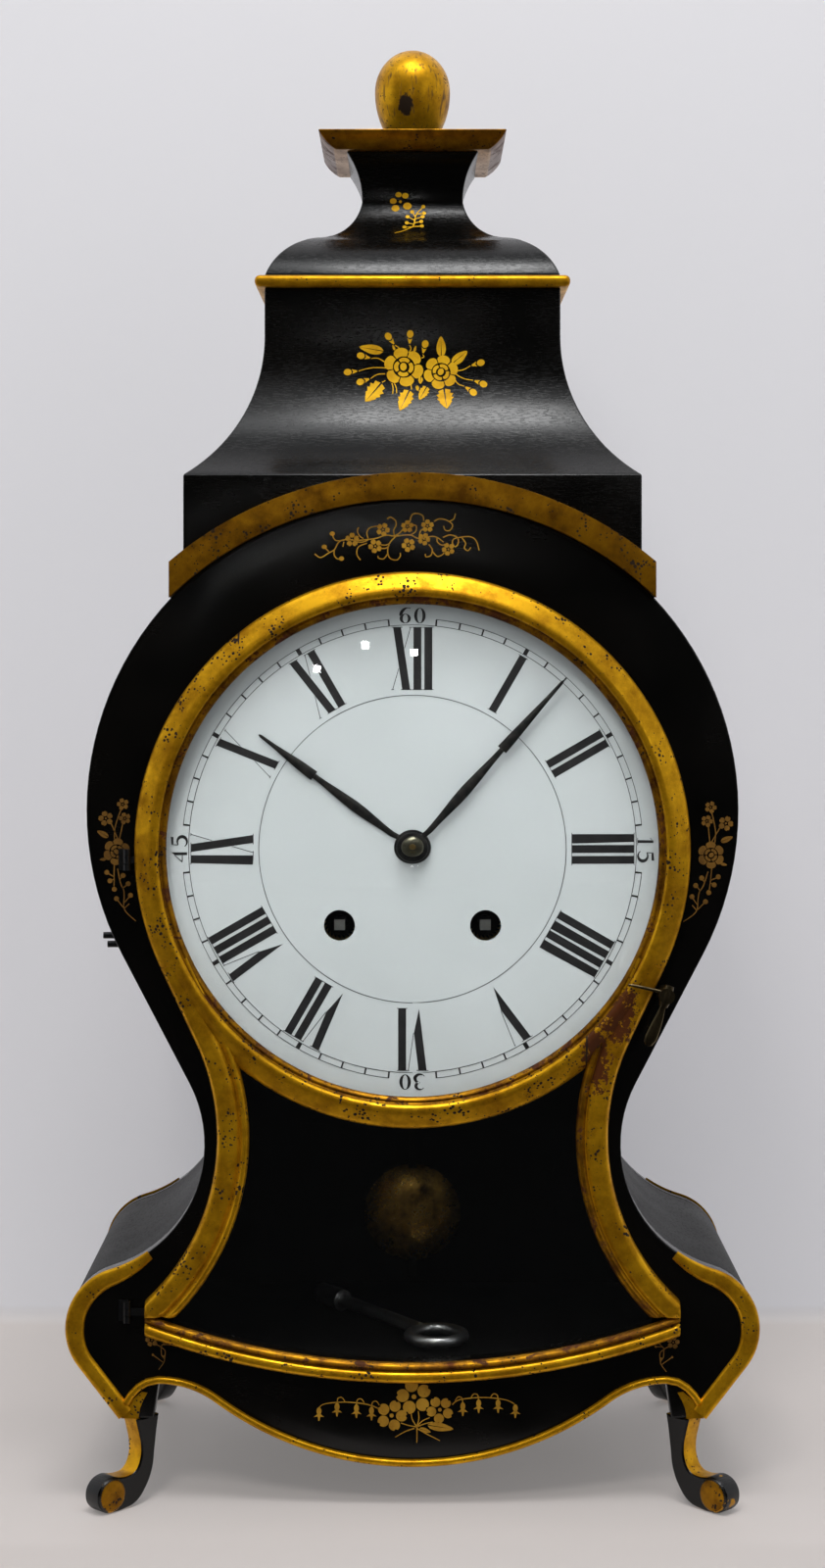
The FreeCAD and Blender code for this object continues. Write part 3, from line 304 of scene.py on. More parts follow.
def eased_copy(name, edge):
    """A copy of a solid with its arrises rubbed round, which stands for that solid."""
    piece = placed_object(name + "_eased", nodes[name].data.copy())
    opened(piece)
    bpy.ops.mesh.remove_doubles(threshold=0.005 * mm)
    bpy.ops.mesh.customdata_custom_splitnormals_clear()
    bpy.ops.mesh.dissolve_limited(angle_limit=math.radians(0.6))
    bpy.ops.object.mode_set(mode="OBJECT")
    rounding = piece.modifiers.new("rounding", "BEVEL")
    rounding.width = edge * mm
    rounding.segments = 3
    rounding.limit_method = "ANGLE"
    rounding.angle_limit = arris
    rounding.use_clamp_overlap = True
    rounding.harden_normals = False
    bpy.ops.object.modifier_apply(modifier="rounding")
    bpy.ops.object.shade_smooth_by_angle(angle=arris)
    settle(piece, name + "_eased")
    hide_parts(name)
    return piece


def assigned(piece, test, slot):
    """Gives one of the piece's materials to the faces whose points all pass a test."""
    only(piece)
    pick(piece, test, "polygons")
    piece.active_material_index = slot
    bpy.ops.object.material_slot_assign()
    bpy.ops.object.mode_set(mode="OBJECT")
    return piece


def new_group(name, inputs, outputs):
    """An empty shader node group with named sockets, and its two ends."""
    group = bpy.data.node_groups.new(name, "ShaderNodeTree")
    for label, kind, value in inputs:
        socket = group.interface.new_socket(label, in_out="INPUT", socket_type=kind)
        if value is not None:
            socket.default_value = value
    for label, kind in outputs:
        group.interface.new_socket(label, in_out="OUTPUT", socket_type=kind)
    return group, group.nodes.new("NodeGroupInput").outputs, group.nodes.new("NodeGroupOutput")


def place_group(tree, group, **values):
    """The outputs of one use of a node group with its own values."""
    return add(tree, "Group", values, node_tree=group).outputs


pores, start, end = new_group("wood_pores", [("Length", number, 330.0), ("Width", number, 2100.0)],
                              [("Pores", number), ("Figure", number)])
where = own_place(pores)
stretch = add(pores, "CombineXYZ", {"X": start["Length"], "Y": start["Length"], "Z": start["Width"]})
laid = add(pores, "VectorMath", {0: where, 1: stretch.outputs["Vector"]}, operation="MULTIPLY").outputs["Vector"]
speck = noise(pores, laid, 1.0, 2.0, Roughness=0.6)
feed(pores, end, {"Pores": span(pores, speck, 0.52, 0.60), "Figure": noise(pores, where, 26.0, 3.0)})


def roughen(tree, shader, height, strength, depth, **settings):
    """Fine relief on a surface, its depth in millimetres."""
    relief = {"Height": height, "Strength": strength, "Distance": depth * mm}
    feed(tree, shader, {"Normal": add(tree, "Bump", relief, **settings).outputs["Normal"]})


def lacquered(name, depth, rough):
    """Black lacquer, filled smooth or with the pores left open to a depth."""
    material, tree, shader = new_material(name)
    grain = place_group(tree, pores)
    rub = span(tree, grain["Figure"], 0.3, 0.7, rough, rough + 0.1)
    blind = sums(tree, "MULTIPLY", grain["Pores"], depth * 0.4)
    feed(tree, shader, {"Base Color": shades(tree, grain["Figure"], lacquer_black, lacquer_brown, 0.35, 0.75),
                        "Roughness": sums(tree, "ADD", rub, blind), "Specular IOR Level": 0.34})
    roughen(tree, shader, grain["Pores"], depth / 2, 0.2, invert=True)
    return material


lacquer = lacquered("black_lacquer", 0.05, 0.17)
lacquer_side = lacquered("side_lacquer", 0.2, 0.48)
# The inner faces of the front panel and back board, and the case floor, are painted near-black: painted shade inside
# the closed case.
shade_lining, tree, shader = new_material("painted_shade_lining")
dusty = span(tree, place_group(tree, pores)["Figure"], 0.0, 1.0, 0.7, 0.95)
feed(tree, shader, {"Base Color": inside_painted_shade, "Roughness": dusty, "Specular IOR Level": 0.08})
for name, edge in case_pieces.items():
    piece = dress(eased_copy(name, edge), lacquer_side if name.endswith("side") else lacquer, shade_lining)
    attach(piece, "case")
    inner = {"front_panel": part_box(name)[1].y, "back_board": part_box(name)[0].y}.get(name)
    if inner is not None:
        assigned(piece, lambda p: abs(p.y - inner) < inner_depth * mm, 1)
dress(nodes["case_floor"], shade_lining)


# Hood: a flat band and a hollow-sided roof, with a bulged cap and a waisted neck above it.
# All four sides are planed to the same hollow and mitred at the corners, then lacquered black.
hood_edge = 0.7
lacquer_open = lacquered("open_lacquer", 0.2, 0.17)
for name in ("hood_body", "hood_cap"):
    piece = dress(eased_copy(name, hood_edge), lacquer_open)
    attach(piece, "case")


# Gilt mouldings of the hood: cornice, strip and the arch over the round front.
# Carved wood with a red clay ground and gold leaf, rubbed through at the arrises and specked with age.
gold_bright = (0.80, 0.41, 0.011, 1.0)
gold_dull = (0.40, 0.18, 0.004, 1.0)
brown_bright = (0.40, 0.18, 0.006, 1.0)
brown_dull = (0.14, 0.055, 0.003, 1.0)
bare_wood = (0.20, 0.095, 0.045, 1.0)
bole_red = (0.07, 0.020, 0.005, 1.0)
age_dark = (0.022, 0.013, 0.008, 1.0)
leaf_gloss = 0.15
top_tilt = 0.7
end_tilt = 0.5
colour = "NodeSocketColor"
leaf, start, end = new_group(
    "gold_leaf",
    [("Wear", number, 0.5), ("Specks", number, 0.5), ("Bright", colour, gold_bright), ("Dull", colour, gold_dull)],
    [("Color", colour), ("Metal", number), ("Roughness", number), ("Height", number)])
where = own_place(leaf)
cloud = noise(leaf, where, 70.0, 8.0, Roughness=0.7)
tone_level = span(leaf, cloud, 0.36, 0.62)
tone = blend(leaf, tone_level, start["Dull"], start["Bright"])
limit = span(leaf, start["Wear"], 0.0, 1.0, 0.80, 0.52)
rub = noise(leaf, where, 95.0, 9.0, Roughness=0.72, Distortion=0.4)
rubbed = span(leaf, rub, limit, sums(leaf, "ADD", limit, 0.05))
dots = add(leaf, "TexVoronoi", {"Vector": where, "Scale": 560.0, "Randomness": 1.0}).outputs["Distance"]
reach = span(leaf, noise(leaf, where, 120.0, 3.0), 0.43, 0.70, 0.0, 0.46)
inside = sums(leaf, "LESS_THAN", dots, sums(leaf, "MULTIPLY", reach, start["Specks"]))
lost = sums(leaf, "MAXIMUM", rubbed, inside)
sheen = span(leaf, tone_level, 0.0, 1.0, 0.44, 0.28)
feed(leaf, end, {"Color": blend(leaf, inside, blend(leaf, rubbed, tone, bole_red), age_dark),
                 "Metal": span(leaf, lost, 0.0, 1.0, 0.75, 0.1),
                 "Roughness": sums(leaf, "ADD", sheen, sums(leaf, "MULTIPLY", lost, 0.25)),
                 "Height": sums(leaf, "ADD", cloud, sums(leaf, "MULTIPLY", lost, -0.6))})


def gilded(name, wear, specks, bright=gold_bright, dull=gold_dull):
    """Gold leaf on red clay, more or less rubbed and specked."""
    material, tree, shader = new_material(name)
    gold = place_group(tree, leaf, Wear=wear, Specks=specks, Bright=bright, Dull=dull)
    feed(tree, shader, {"Base Color": gold["Color"], "Metallic": gold["Metal"], "Roughness": gold["Roughness"],
                        "Specular IOR Level": leaf_gloss})
    roughen(tree, shader, gold["Height"], 0.25, 0.3)
    return material


gilt = gilded("gilt_rubbed", 0.45, 0.8)
gilt_brown = gilded("gilt_brown", 0.5, 1.0, brown_bright, brown_dull)
gilt_bare = gilded("gilt_bare", 0.9, 0.8, bare_wood, bole_red)
for name, edge, skins in (("cornice", 0.7, [gilt_brown, gilt_bare, lacquer]), ("hood_strip", 2.3, [gilt]),
                          ("arch_moulding", 1.6, [gilt_brown])):
    piece = dress(eased_copy(name, edge), *skins)
    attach(piece, "case")
    if name == "cornice":
        for face in piece.data.polygons:
            face.material_index = 2 if face.normal.z > top_tilt else int(abs(face.normal.x) > end_tilt)


# Wing strips and apron bead: half-round mouldings that edge the lower case, front and back.
# Each strip swells round the bulge, runs down to the leg and meets the bead in a gilt fork.
strip_section = [(0.0, 0.0), (0.0, 0.9), (0.5, 1.7), (1.6, 2.3), (3.2, 2.5), (5.2, 2.4), (6.9, 1.9), (8.0, 1.1),
                 (8.5, 0.2), (8.5, 0.0)]
bead_section = [(0.0, 0.0), (0.0, 1.2), (0.4, 1.9), (1.1, 2.3), (1.9, 2.3), (2.7, 1.9), (3.1, 1.2), (3.2, 0.0)]
case_face = -80.0
waist_middle = (152.41, 161.8)
waist_radius = 58.91
bulge_middle = (128.1, 79.4)
bulge_radius = 27.0
bulge_turn = math.radians(73.56)
bulge_end = math.radians(-37.44)
leg_end = (131.22, 39.1)
tip_turn = math.radians(235.0)
tip_swell = 0.5
leg_loss = 0.14
strip_lip = 0.7
apron_middle = (0.0, 167.5)
apron_radius = 150.0
apron_turn = math.radians(36.24)
shoulder_middle = (114.0, 11.94)
shoulder_radius = 42.86
fork = [(127.2, 45.2), (125.2, 48.4), (122.2, 51.6), (118.6, 53.8)]
knee = [(130.5, 39.1), (123.0, 39.1), (122.3, 43.5), (120.8, 47.2), (118.9, 50.6), (121.5, 51.0), (125.5, 47.6),
        (128.5, 45.0), (131.0, 43.0)]
knee_thick = 0.6
seam = 0.01 * mm


def drawn_line(points):
    """A line of edges drawn point by point with the extrude tool."""
    bpy.ops.object.select_all(action="DESELECT")
    bpy.ops.mesh.primitive_plane_add(size=mm)
    piece = bpy.context.object
    opened(piece)
    bpy.ops.mesh.select_mode(type="VERT")
    bpy.ops.mesh.select_all(action="SELECT")
    bpy.ops.mesh.merge(type="CENTER")
    bpy.ops.transform.translate(value=points[0])
    for here, there in zip(points, points[1:]):
        bpy.ops.mesh.extrude_region_move(TRANSFORM_OT_translate={"value": Vector(there) - Vector(here)})
    bpy.ops.mesh.select_all(action="SELECT")
    return piece


def sealed(piece, smooth=35):
    """Closes the seams of a worked mesh, turns its faces outwards and shades it."""
    opened(piece)
    bpy.ops.mesh.remove_doubles(threshold=seam)
    bpy.ops.mesh.normals_make_consistent(inside=False)
    bpy.ops.object.mode_set(mode="OBJECT")
    bpy.ops.object.shade_smooth_by_angle(angle=math.radians(smooth))
    return piece


def flat_curve(name, loops, fill="NONE", cyclic=True):
    """A flat curve object of straight-sided loops or lines, given in millimetres."""
    data = bpy.data.curves.new(name, "CURVE")
    data.dimensions = "2D"
    data.fill_mode = fill
    for loop in loops:
        spline = data.splines.new("POLY")
        spline.points.add(len(loop) - 1)
        for point, (x, y) in zip(spline.points, loop):
            point.co = (x * mm, y * mm, 0, 1)
        spline.use_cyclic_u = cyclic
    return placed_object(name, data)


def stood(piece, y, z=0.0):
    """A flat curve made a mesh and stood upright at a depth and a height in metres."""
    only(piece)
    bpy.ops.object.convert(target="MESH")
    piece = bpy.context.object
    piece.rotation_euler = (math.pi / 2, 0, 0)
    piece.location = (0, y, z)
    return piece


def moulded(path, section, back, swell=()):
    """A length of moulding: a section run along a flat path, standing forward of a back plane."""
    knife = flat_curve("knife", [section])
    run = flat_curve("run", [path], cyclic=False)
    run.data.bevel_mode = "OBJECT"
    run.data.bevel_object = knife
    run.data.use_fill_caps = True
    for point, size in zip(run.data.splines[0].points, swell):
        point.radius = size
    piece = stood(run, back * mm)
    bpy.data.objects.remove(knife)
    return settle(sealed(piece), "moulding")


def bend(centre, radius, start, end, count):
    """Points along an arc, from one angle to another."""
    angles = [start + (end - start) * i / count for i in range(count + 1)]
    return [(centre[0] + radius * math.cos(a), centre[1] + radius * math.sin(a)) for a in angles]


def mirror_copy(piece, name):
    """The other hand of a piece, across the clock's middle."""
    twin = placed_object(name, piece.data.copy())
    twin.scale.x = -1
    opened(settle(twin, name))
    bpy.ops.mesh.normals_make_consistent(inside=False)
    bpy.ops.object.mode_set(mode="OBJECT")
    return twin


def turned_back(piece, name):
    """The same moulding on the back of the case."""
    twin = placed_object(name, piece.data.copy())
    twin.rotation_euler.z = math.pi
    return settle(twin, name)


def joined(pieces, name):
    """Several pieces made one."""
    only(pieces[0])
    for piece in pieces:
        piece.select_set(True)
    bpy.ops.object.join()
    return settle(bpy.context.object, name)


upper = bend(waist_middle, waist_radius - strip_lip, tip_turn, bulge_turn + math.pi, 14)
round_bulge = bend(bulge_middle, bulge_radius + strip_lip, bulge_turn, bulge_end, 30)
strip_path = upper + round_bulge[1:] + [(leg_end[0] + strip_lip * 0.8, leg_end[1] - strip_lip * 0.3)]
shares = [i / (len(strip_path) - 1) for i in range(len(strip_path))]
strip_swell = [tip_swell + (1 - tip_swell) * math.sin(min(1.0, 1.9 * share) * math.pi / 2)
               - leg_loss * max(0.0, (share - 0.75) / 0.25) for share in shares]
right_strip = moulded(strip_path, strip_section, case_face, strip_swell)
half_bead = fork + bend(shoulder_middle, shoulder_radius, math.pi / 2, math.pi / 2 + apron_turn, 16)
half_bead += bend(apron_middle, apron_radius, apron_turn - math.pi / 2, -math.pi / 2, 36)[1:]
bead_path = half_bead + [(-x, z) for x, z in half_bead[-2::-1]]
bead = settle(moulded(bead_path, bead_section, case_face), "apron_bead")
right_knee = flat_curve("right_knee", [knee], "BOTH")
right_knee.data.extrude = knee_thick * mm
right_knee = settle(sealed(stood(right_knee, case_face * mm)), "right_knee")
front_strips = [right_strip, mirror_copy(right_strip, "left_strip"), right_knee, mirror_copy(right_knee, "left_knee")]
rear_strips = [turned_back(piece, piece.name + "_rear") for piece in front_strips]
wing_strips = joined(front_strips + rear_strips, "wing_strips_carved")
for piece, name in ((wing_strips, "wing_strips"), (bead, "apron_trim")):
    dress(piece, gilt)
    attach(piece, "case")
    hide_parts(name)


# Feet: four scrolled feet sawn from the plank, set on the diagonals under the legs.
# The outward face and the ends of the roll are gilt, the flanks and the worn roll are black lacquer.
foot_line = [(-4.4, 39.0), (9.0, 39.0), (7.3, 33.0), (5.9, 26.6), (6.4, 20.4), (9.4, 15.8), (13.6, 14.7), (17.6, 15.0),
             (22.6, 15.9), (28.2, 13.4), (30.5, 8.0), (28.2, 2.5), (22.6, 0.4), (14.9, 0.5), (8.8, 2.0), (3.2, 7.4),
             (-0.6, 15.0), (-2.0, 24.0), (-3.2, 32.5)]
foot_half = 4.9
foot_round = 1.0
roll_middle = (22.6, 8.0)
roll_radius = 7.8
roll_half = 5.6
roll_round = 2.0
roll_start = 19.0
flank_tilt = 0.5
back_tilt = -0.3
disc_tilt = 0.9
foot_x = 120.85
foot_y = 72.0


def scroll_foot(name, turn, x, y):
    """One foot: a sawn scroll with rounded arrises and a turned roll let into its end."""
    data = bpy.data.curves.new(name, "CURVE")
    data.dimensions = "2D"
    data.fill_mode = "BOTH"
    data.resolution_u = 6
    data.extrude = (foot_half - foot_round) * mm
    data.bevel_depth = foot_round * mm
    data.bevel_resolution = 3
    data.offset = -foot_round * mm
    spline = data.splines.new("BEZIER")
    spline.bezier_points.add(len(foot_line) - 1)
    for i, (point, (d, z)) in enumerate(zip(spline.bezier_points, foot_line)):
        point.co = (d * mm, z * mm, 0)
        point.handle_left_type = point.handle_right_type = "VECTOR" if i < 2 else "AUTO"
    spline.use_cyclic_u = True
    only(placed_object(name, data))
    bpy.ops.object.convert(target="MESH")
    sawn = dress(bpy.context.object, gilt, lacquer, lacquer_worn)
    for face in sawn.data.polygons:
        flank = abs(face.normal.z) > flank_tilt or face.normal.x < back_tilt
        face.material_index = 1 if flank else 2 if face.center.x > roll_start * mm else 0
    bpy.ops.mesh.primitive_cylinder_add(vertices=40, radius=roll_radius * mm, depth=2 * roll_half * mm,
                                        location=(roll_middle[0] * mm, roll_middle[1] * mm, 0))
    roll = bpy.context.object
    bpy.ops.object.transform_apply(location=True)
    pick(roll, lambda p: True, "edges")
    bpy.ops.object.mode_set(mode="OBJECT")
    for edge in roll.data.edges:
        ends = [roll.data.vertices[v].co.z for v in edge.vertices]
        edge.select = ends[0] * ends[1] > 0
    bpy.ops.object.mode_set(mode="EDIT")
    bpy.ops.mesh.bevel(offset=roll_round * mm, segments=4)
    bpy.ops.object.mode_set(mode="OBJECT")
    dress(roll, lacquer_worn, gilt_brown)
    for face in roll.data.polygons:
        face.material_index = int(abs(face.normal.z) > disc_tilt)
    foot = only(joined([sawn, roll], name))
    bpy.ops.object.shade_smooth_by_angle(angle=math.radians(40))
    foot.matrix_world = (Matrix.Translation((x * mm, y * mm, 0)) @ Matrix.Rotation(math.radians(turn), 4, "Z")
                         @ Matrix.Rotation(math.pi / 2, 4, "X"))
    return settle(foot, name)


lacquer_worn, tree, shader = new_material("lacquer_worn")
rubbed = place_group(tree, leaf, Wear=0.35, Specks=0.3)
left_on = span(tree, noise(tree, own_place(tree), 130.0, 5.0), 0.60, 0.64)
feed(tree, shader, {"Base Color": blend(tree, left_on, lacquer_black, rubbed["Color"]),
                    "Metallic": sums(tree, "MULTIPLY", left_on, rubbed["Metal"]), "Roughness": 0.36})
for name, turn, x, y in (("front_right_foot", -45, foot_x, -foot_y), ("front_left_foot", -135, -foot_x, -foot_y),
                         ("rear_right_foot", 45, foot_x, foot_y), ("rear_left_foot", 135, -foot_x, foot_y)):
    piece = scroll_foot(name + "_carved", turn, x, y)
    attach(piece, "case")
    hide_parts(name)


# Finial: an egg-shaped ball turned from limewood, gilt, and glued to the middle of the cornice.
# The leaf has worn in fine upright streaks, and a knock low on its front shows the dark ground.
ball_low, ball_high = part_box("finial")
ball_middle = (ball_low + ball_high) / 2
ball_radius = 18.5
ball_waist = 26.0
ball_seat = 8.0
ball_steps = 22
streak_brown = (0.09, 0.045, 0.012, 1.0)
dent_place = (-3.4, ball_low.y / mm, 647.5)
dent_reach = (3.9, 6.0, 5.4)


def knock(tree, place, reach, ragged, depth):
    """A ragged patch about a point, one inside and none outside."""
    spot = own_place(tree)
    off = add(tree, "VectorMath", {0: spot, 1: [c * mm for c in place]}, operation="SUBTRACT").outputs["Vector"]
    near = add(tree, "VectorMath", {0: off, 1: [1 / (r * mm) for r in reach]}, operation="MULTIPLY").outputs["Vector"]
    far = add(tree, "VectorMath", {0: near}, operation="LENGTH").outputs["Value"]
    jag = noise(tree, spot, ragged, 8.0, Roughness=0.7)
    edge = sums(tree, "ADD", far, sums(tree, "MULTIPLY_ADD", jag, depth, -depth / 2))
    return span(tree, edge, 0.9, 1.05, 1.0, 0.0)


def marred(material, mask, ground):
    """Lays a dull ground over the leaf of a material where a mask is one."""
    tree = material.node_tree
    shader = tree.nodes["Principled BSDF"]
    gold, metal = [shader.inputs[label].links[0].from_socket for label in ("Base Color", "Metallic")]
    feed(tree, shader, {"Base Color": blend(tree, mask, gold, ground),
                        "Metallic": sums(tree, "MULTIPLY", metal, span(tree, mask, 0.0, 1.0, 1.0, 0.1))})


ball_under = ball_waist / math.sqrt(1 - (ball_seat / ball_radius) ** 2)
ball_over = (ball_high.z - ball_low.z) / mm - ball_waist
seat_turn = math.acos(ball_seat / ball_radius)
turns = [-seat_turn + (math.pi / 2 + seat_turn) * i / ball_steps for i in range(ball_steps + 1)]
egg = [(0.0, 0.0)] + [(ball_radius * max(0.0, math.cos(t)),
                       ball_waist + math.sin(t) * (ball_under if t < 0 else ball_over)) for t in turns]
ball = drawn_line([(r * mm, ball_middle.y, ball_low.z + h * mm) for r, h in egg])
bpy.ops.mesh.spin(steps=72, angle=2 * math.pi, center=(0, ball_middle.y, 0), axis=(0, 0, 1))
ball = settle(sealed(ball, 60), "finial_turned")
gilt_ball = gilded("gilt_ball", 0.15, 0.7)
tree = gilt_ball.node_tree
drawn = add(tree, "Mapping", {"Vector": own_place(tree), "Scale": (1.0, 1.0, 0.16)}).outputs["Vector"]
streaks = span(tree, noise(tree, drawn, 620.0, 3.0), 0.56, 0.68, 0.0, 0.85)
marred(gilt_ball, streaks, streak_brown)
marred(gilt_ball, knock(tree, dent_place, dent_reach, 300.0, 1.3), age_dark)
dress(ball, gilt_ball)
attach(ball, "case")
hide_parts("finial")


# Door: a turned dial ring and a keystone frame under it, carved in one from limewood and gilt.
# A broad rounded face, a sunk crease and a thin bead next to the glass run round both lights.
dial_middle = sum(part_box("dial"), Vector()) / 2
dial_z = dial_middle.z / mm
door_back = -80.3
ring_section = [(112.0, 0.0), (124.4, 0.0), (124.5, 3.6), (124.2, 4.5), (123.4, 5.3), (121.8, 6.3), (119.8, 7.5),
                (117.9, 8.7), (116.6, 9.4), (115.6, 9.7), (114.6, 9.5), (113.8, 8.9), (113.3, 8.0), (113.0, 7.2),
                (112.6, 6.9), (112.2, 7.1), (111.6, 7.2), (111.0, 6.9), (110.4, 6.2), (110.1, 5.6), (110.0, 5.25),
                (112.0, 5.25)]
ring_bead = (109.9, 113.4)
stile_bead = (109.7, 114.2)
rail_bead = (339.4, 343.4)
stile_section = [(0.1, 0.0), (0.0, 4.0), (0.4, 5.8), (1.6, 7.3), (3.6, 7.9), (6.0, 7.8), (8.2, 7.2), (9.6, 6.3),
                 (10.1, 5.7), (10.6, 5.9), (11.0, 6.8), (11.9, 7.4), (13.0, 7.2), (13.8, 6.4), (14.3, 5.4),
                 (14.5, 4.3), (12.6, 4.25), (12.6, 0.0)]
rail_section = [(0.1, 0.0), (0.0, 4.0), (0.4, 5.8), (1.3, 7.2), (2.7, 7.8), (4.2, 7.5), (5.2, 6.6), (5.7, 5.7),
                (6.1, 5.8), (6.6, 6.8), (7.4, 7.3), (8.3, 6.9), (9.0, 6.0), (9.4, 5.0), (9.5, 4.3), (7.6, 4.25),
                (7.6, 0.0)]
stile_radius = 99.5
stile_middle = (187.0, 165.8)
stile_leave = (112.53, 241.05)
stile_join = (97.06, 208.37)
stile_end = math.radians(238)
rail_radius = 349.0
rail_middle = (0.0, 405.0)
rail_spare = 4.0
door_corner_x = 119.5
mitre_outer = (119.5, 86.0)
mitre_inner = (104.9, 86.0)
# Each loss of leaf: its place, its reach, how ragged and deep its edge is, and the ground it shows.
losses = [((91.0, -88.0, 222.0), (8.0, 20.0, 13.0), 340.0, 4.4, bole_red),
          ((82.0, -88.0, 203.0), (6.0, 20.0, 14.0), 340.0, 4.4, bole_red),
          ((77.6, -88.0, 205.0), (0.5, 20.0, 9.0), 300.0, 0.5, age_dark),
          ((-77.7, -88.0, 391.0), (0.5, 20.0, 5.0), 300.0, 0.5, age_dark)]


def turned(section, steps, name):
    """A closed section of radii and depths in millimetres, spun once round the dial's axis."""
    line = [(r * mm, depth * mm, dial_middle.z) for r, depth in section]
    piece = drawn_line(line + line[:1])
    bpy.ops.mesh.remove_doubles(threshold=seam)
    bpy.ops.mesh.select_all(action="SELECT")
    bpy.ops.mesh.spin(steps=steps, angle=2 * math.pi, center=(0, 0, dial_middle.z), axis=(0, 1, 0))
    return settle(sealed(piece), name)


def trimmed(piece, point, normal):
    """Cuts a piece with an upright plane and closes the cut."""
    opened(piece)
    bpy.ops.mesh.bisect(plane_co=(point[0] * mm, 0, point[1] * mm), plane_no=(normal[0], 0, normal[1]),
                        use_fill=True, clear_outer=True)
    bpy.ops.object.mode_set(mode="OBJECT")


def banded(piece, middle, reach, material):
    """A second material on the faces that lie between two distances from a point of the front."""
    piece.data.materials.append(material)
    slot = len(piece.data.materials) - 1
    assigned(piece, lambda p: reach[0] < math.hypot(p.x / mm - middle[0], p.z / mm - middle[1]) < reach[1], slot)


gilt_door = gilded("gilt_door", 0.5, 1.0)
gilt_lip = gilded("gilt_lip", 0.95, 0.9, gold_dull, bole_red)
for place, reach, ragged, depth, ground in losses:
    marred(gilt_door, knock(gilt_door.node_tree, place, reach, ragged, depth), ground)
ring = turned([(r, door_back - d) for r, d in ring_section], 180, "door_ring")
join_angle = math.atan2(stile_join[1] - stile_middle[1], stile_join[0] - stile_middle[0])
stile_path = [stile_leave] + bend(stile_middle, stile_radius, join_angle, stile_end, 40)
stile = moulded(stile_path, stile_section, door_back)
mitre_x, mitre_z = mitre_outer[1] - mitre_inner[1], mitre_inner[0] - mitre_outer[0]
trimmed(stile, mitre_outer, (mitre_x, mitre_z))
trimmed(stile, (door_corner_x, 0), (1, 0))
rail_turn = math.asin((door_corner_x + rail_spare) / rail_radius)
rail_path = bend(rail_middle, rail_radius, rail_turn - math.pi / 2, -rail_turn - math.pi / 2, 48)
rail = moulded(rail_path, rail_section, door_back)
trimmed(rail, mitre_outer, (-mitre_x, -mitre_z))
trimmed(rail, (-mitre_outer[0], mitre_outer[1]), (mitre_x, -mitre_z))
trimmed(rail, (door_corner_x, 0), (1, 0))
trimmed(rail, (-door_corner_x, 0), (-1, 0))
for piece in (ring, stile, rail):
    dress(piece, gilt_door)
left_stile = mirror_copy(stile, "stile_left")
banded(ring, (0.0, dial_z), ring_bead, gilt_lip)
banded(stile, stile_middle, stile_bead, gilt_lip)
banded(rail, rail_middle, rail_bead, gilt_lip)
frame_piece = joined([ring, stile, left_stile, rail], "door_frame_carved")
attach(frame_piece, "door")
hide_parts("door_frame")


# Glasses: a domed glass in the dial ring and a flat pane in the lower light, held by putty.
# Old blown glass, a little wavy and greenish, with a thin film of dust.
glass_clear = (0.985, 0.995, 0.99, 1.0)
glass_green = (0.965, 0.985, 0.975, 1.0)
glass, tree, shader = new_material("blown_glass")
spot = own_place(tree)
film = noise(tree, spot, 30.0, 6.0)
feed(tree, shader, {"Base Color": shades(tree, film, glass_clear, glass_green),
                    "Roughness": span(tree, film, 0.4, 0.8, 0.0, 0.05), "Transmission Weight": 1.0, "IOR": 1.45})
roughen(tree, shader, noise(tree, spot, 11.0, 1.0), 0.04, 1.0)
shadow = add(tree, "LightPath").outputs["Is Shadow Ray"]
two_shaders(tree, shadow, shader.outputs["BSDF"], add(tree, "BsdfTransparent").outputs["BSDF"])
for name in ("dial_glass", "lower_glass"):
    dress(nodes[name], glass)


# Dial: a convex copper plate fired with white enamel, painted with black Roman hours.
# A ladder of minutes runs outside the hours, and plain figures mark the quarters.
dial_radius = 112.8
dial_rim_y = -76.0
dial_rise = 2.5
dome = (dial_radius ** 2 + dial_rise ** 2) / (2 * dial_rise)
paint_thick = 0.06
paint_lift = 0.03
hour_inner = 71.7
hour_outer = 99.4
track_inner = 100.5
track_outer = 103.4
track_line = 0.25
paint_gap = 0.02
track_stop = math.radians(5.8)
quarter_ring = 104.8
figure_pitch = 6.6
figure_swell = (1.3, 1.09)
figure_high = 3.2
figure_wide = 1.75
hour_ring = 68.9
hair = 0.3
bar_wide = 3.55
bar_pitch = 4.9
bar_foot = 2.4
wide_letter = 9.3
fill_turn = 0.01
hours = ["XII", "I", "II", "III", "IIII", "V", "VI", "VII", "VIII", "IX", "X", "XI"]
enamel_white = (0.585, 0.625, 0.64, 1.0)
enamel_grey = (0.535, 0.575, 0.585, 1.0)
paint_black = (0.006, 0.006, 0.007, 1.0)
paint_faded = (0.022, 0.021, 0.022, 1.0)


def oblique(x0, x1, low, high, wide):
    """A straight stroke from foot to head, given by the middle of each end."""
    half = wide / 2
    return [(x0 - half, low), (x0 + half, low), (x1 + half, high), (x1 - half, high)]


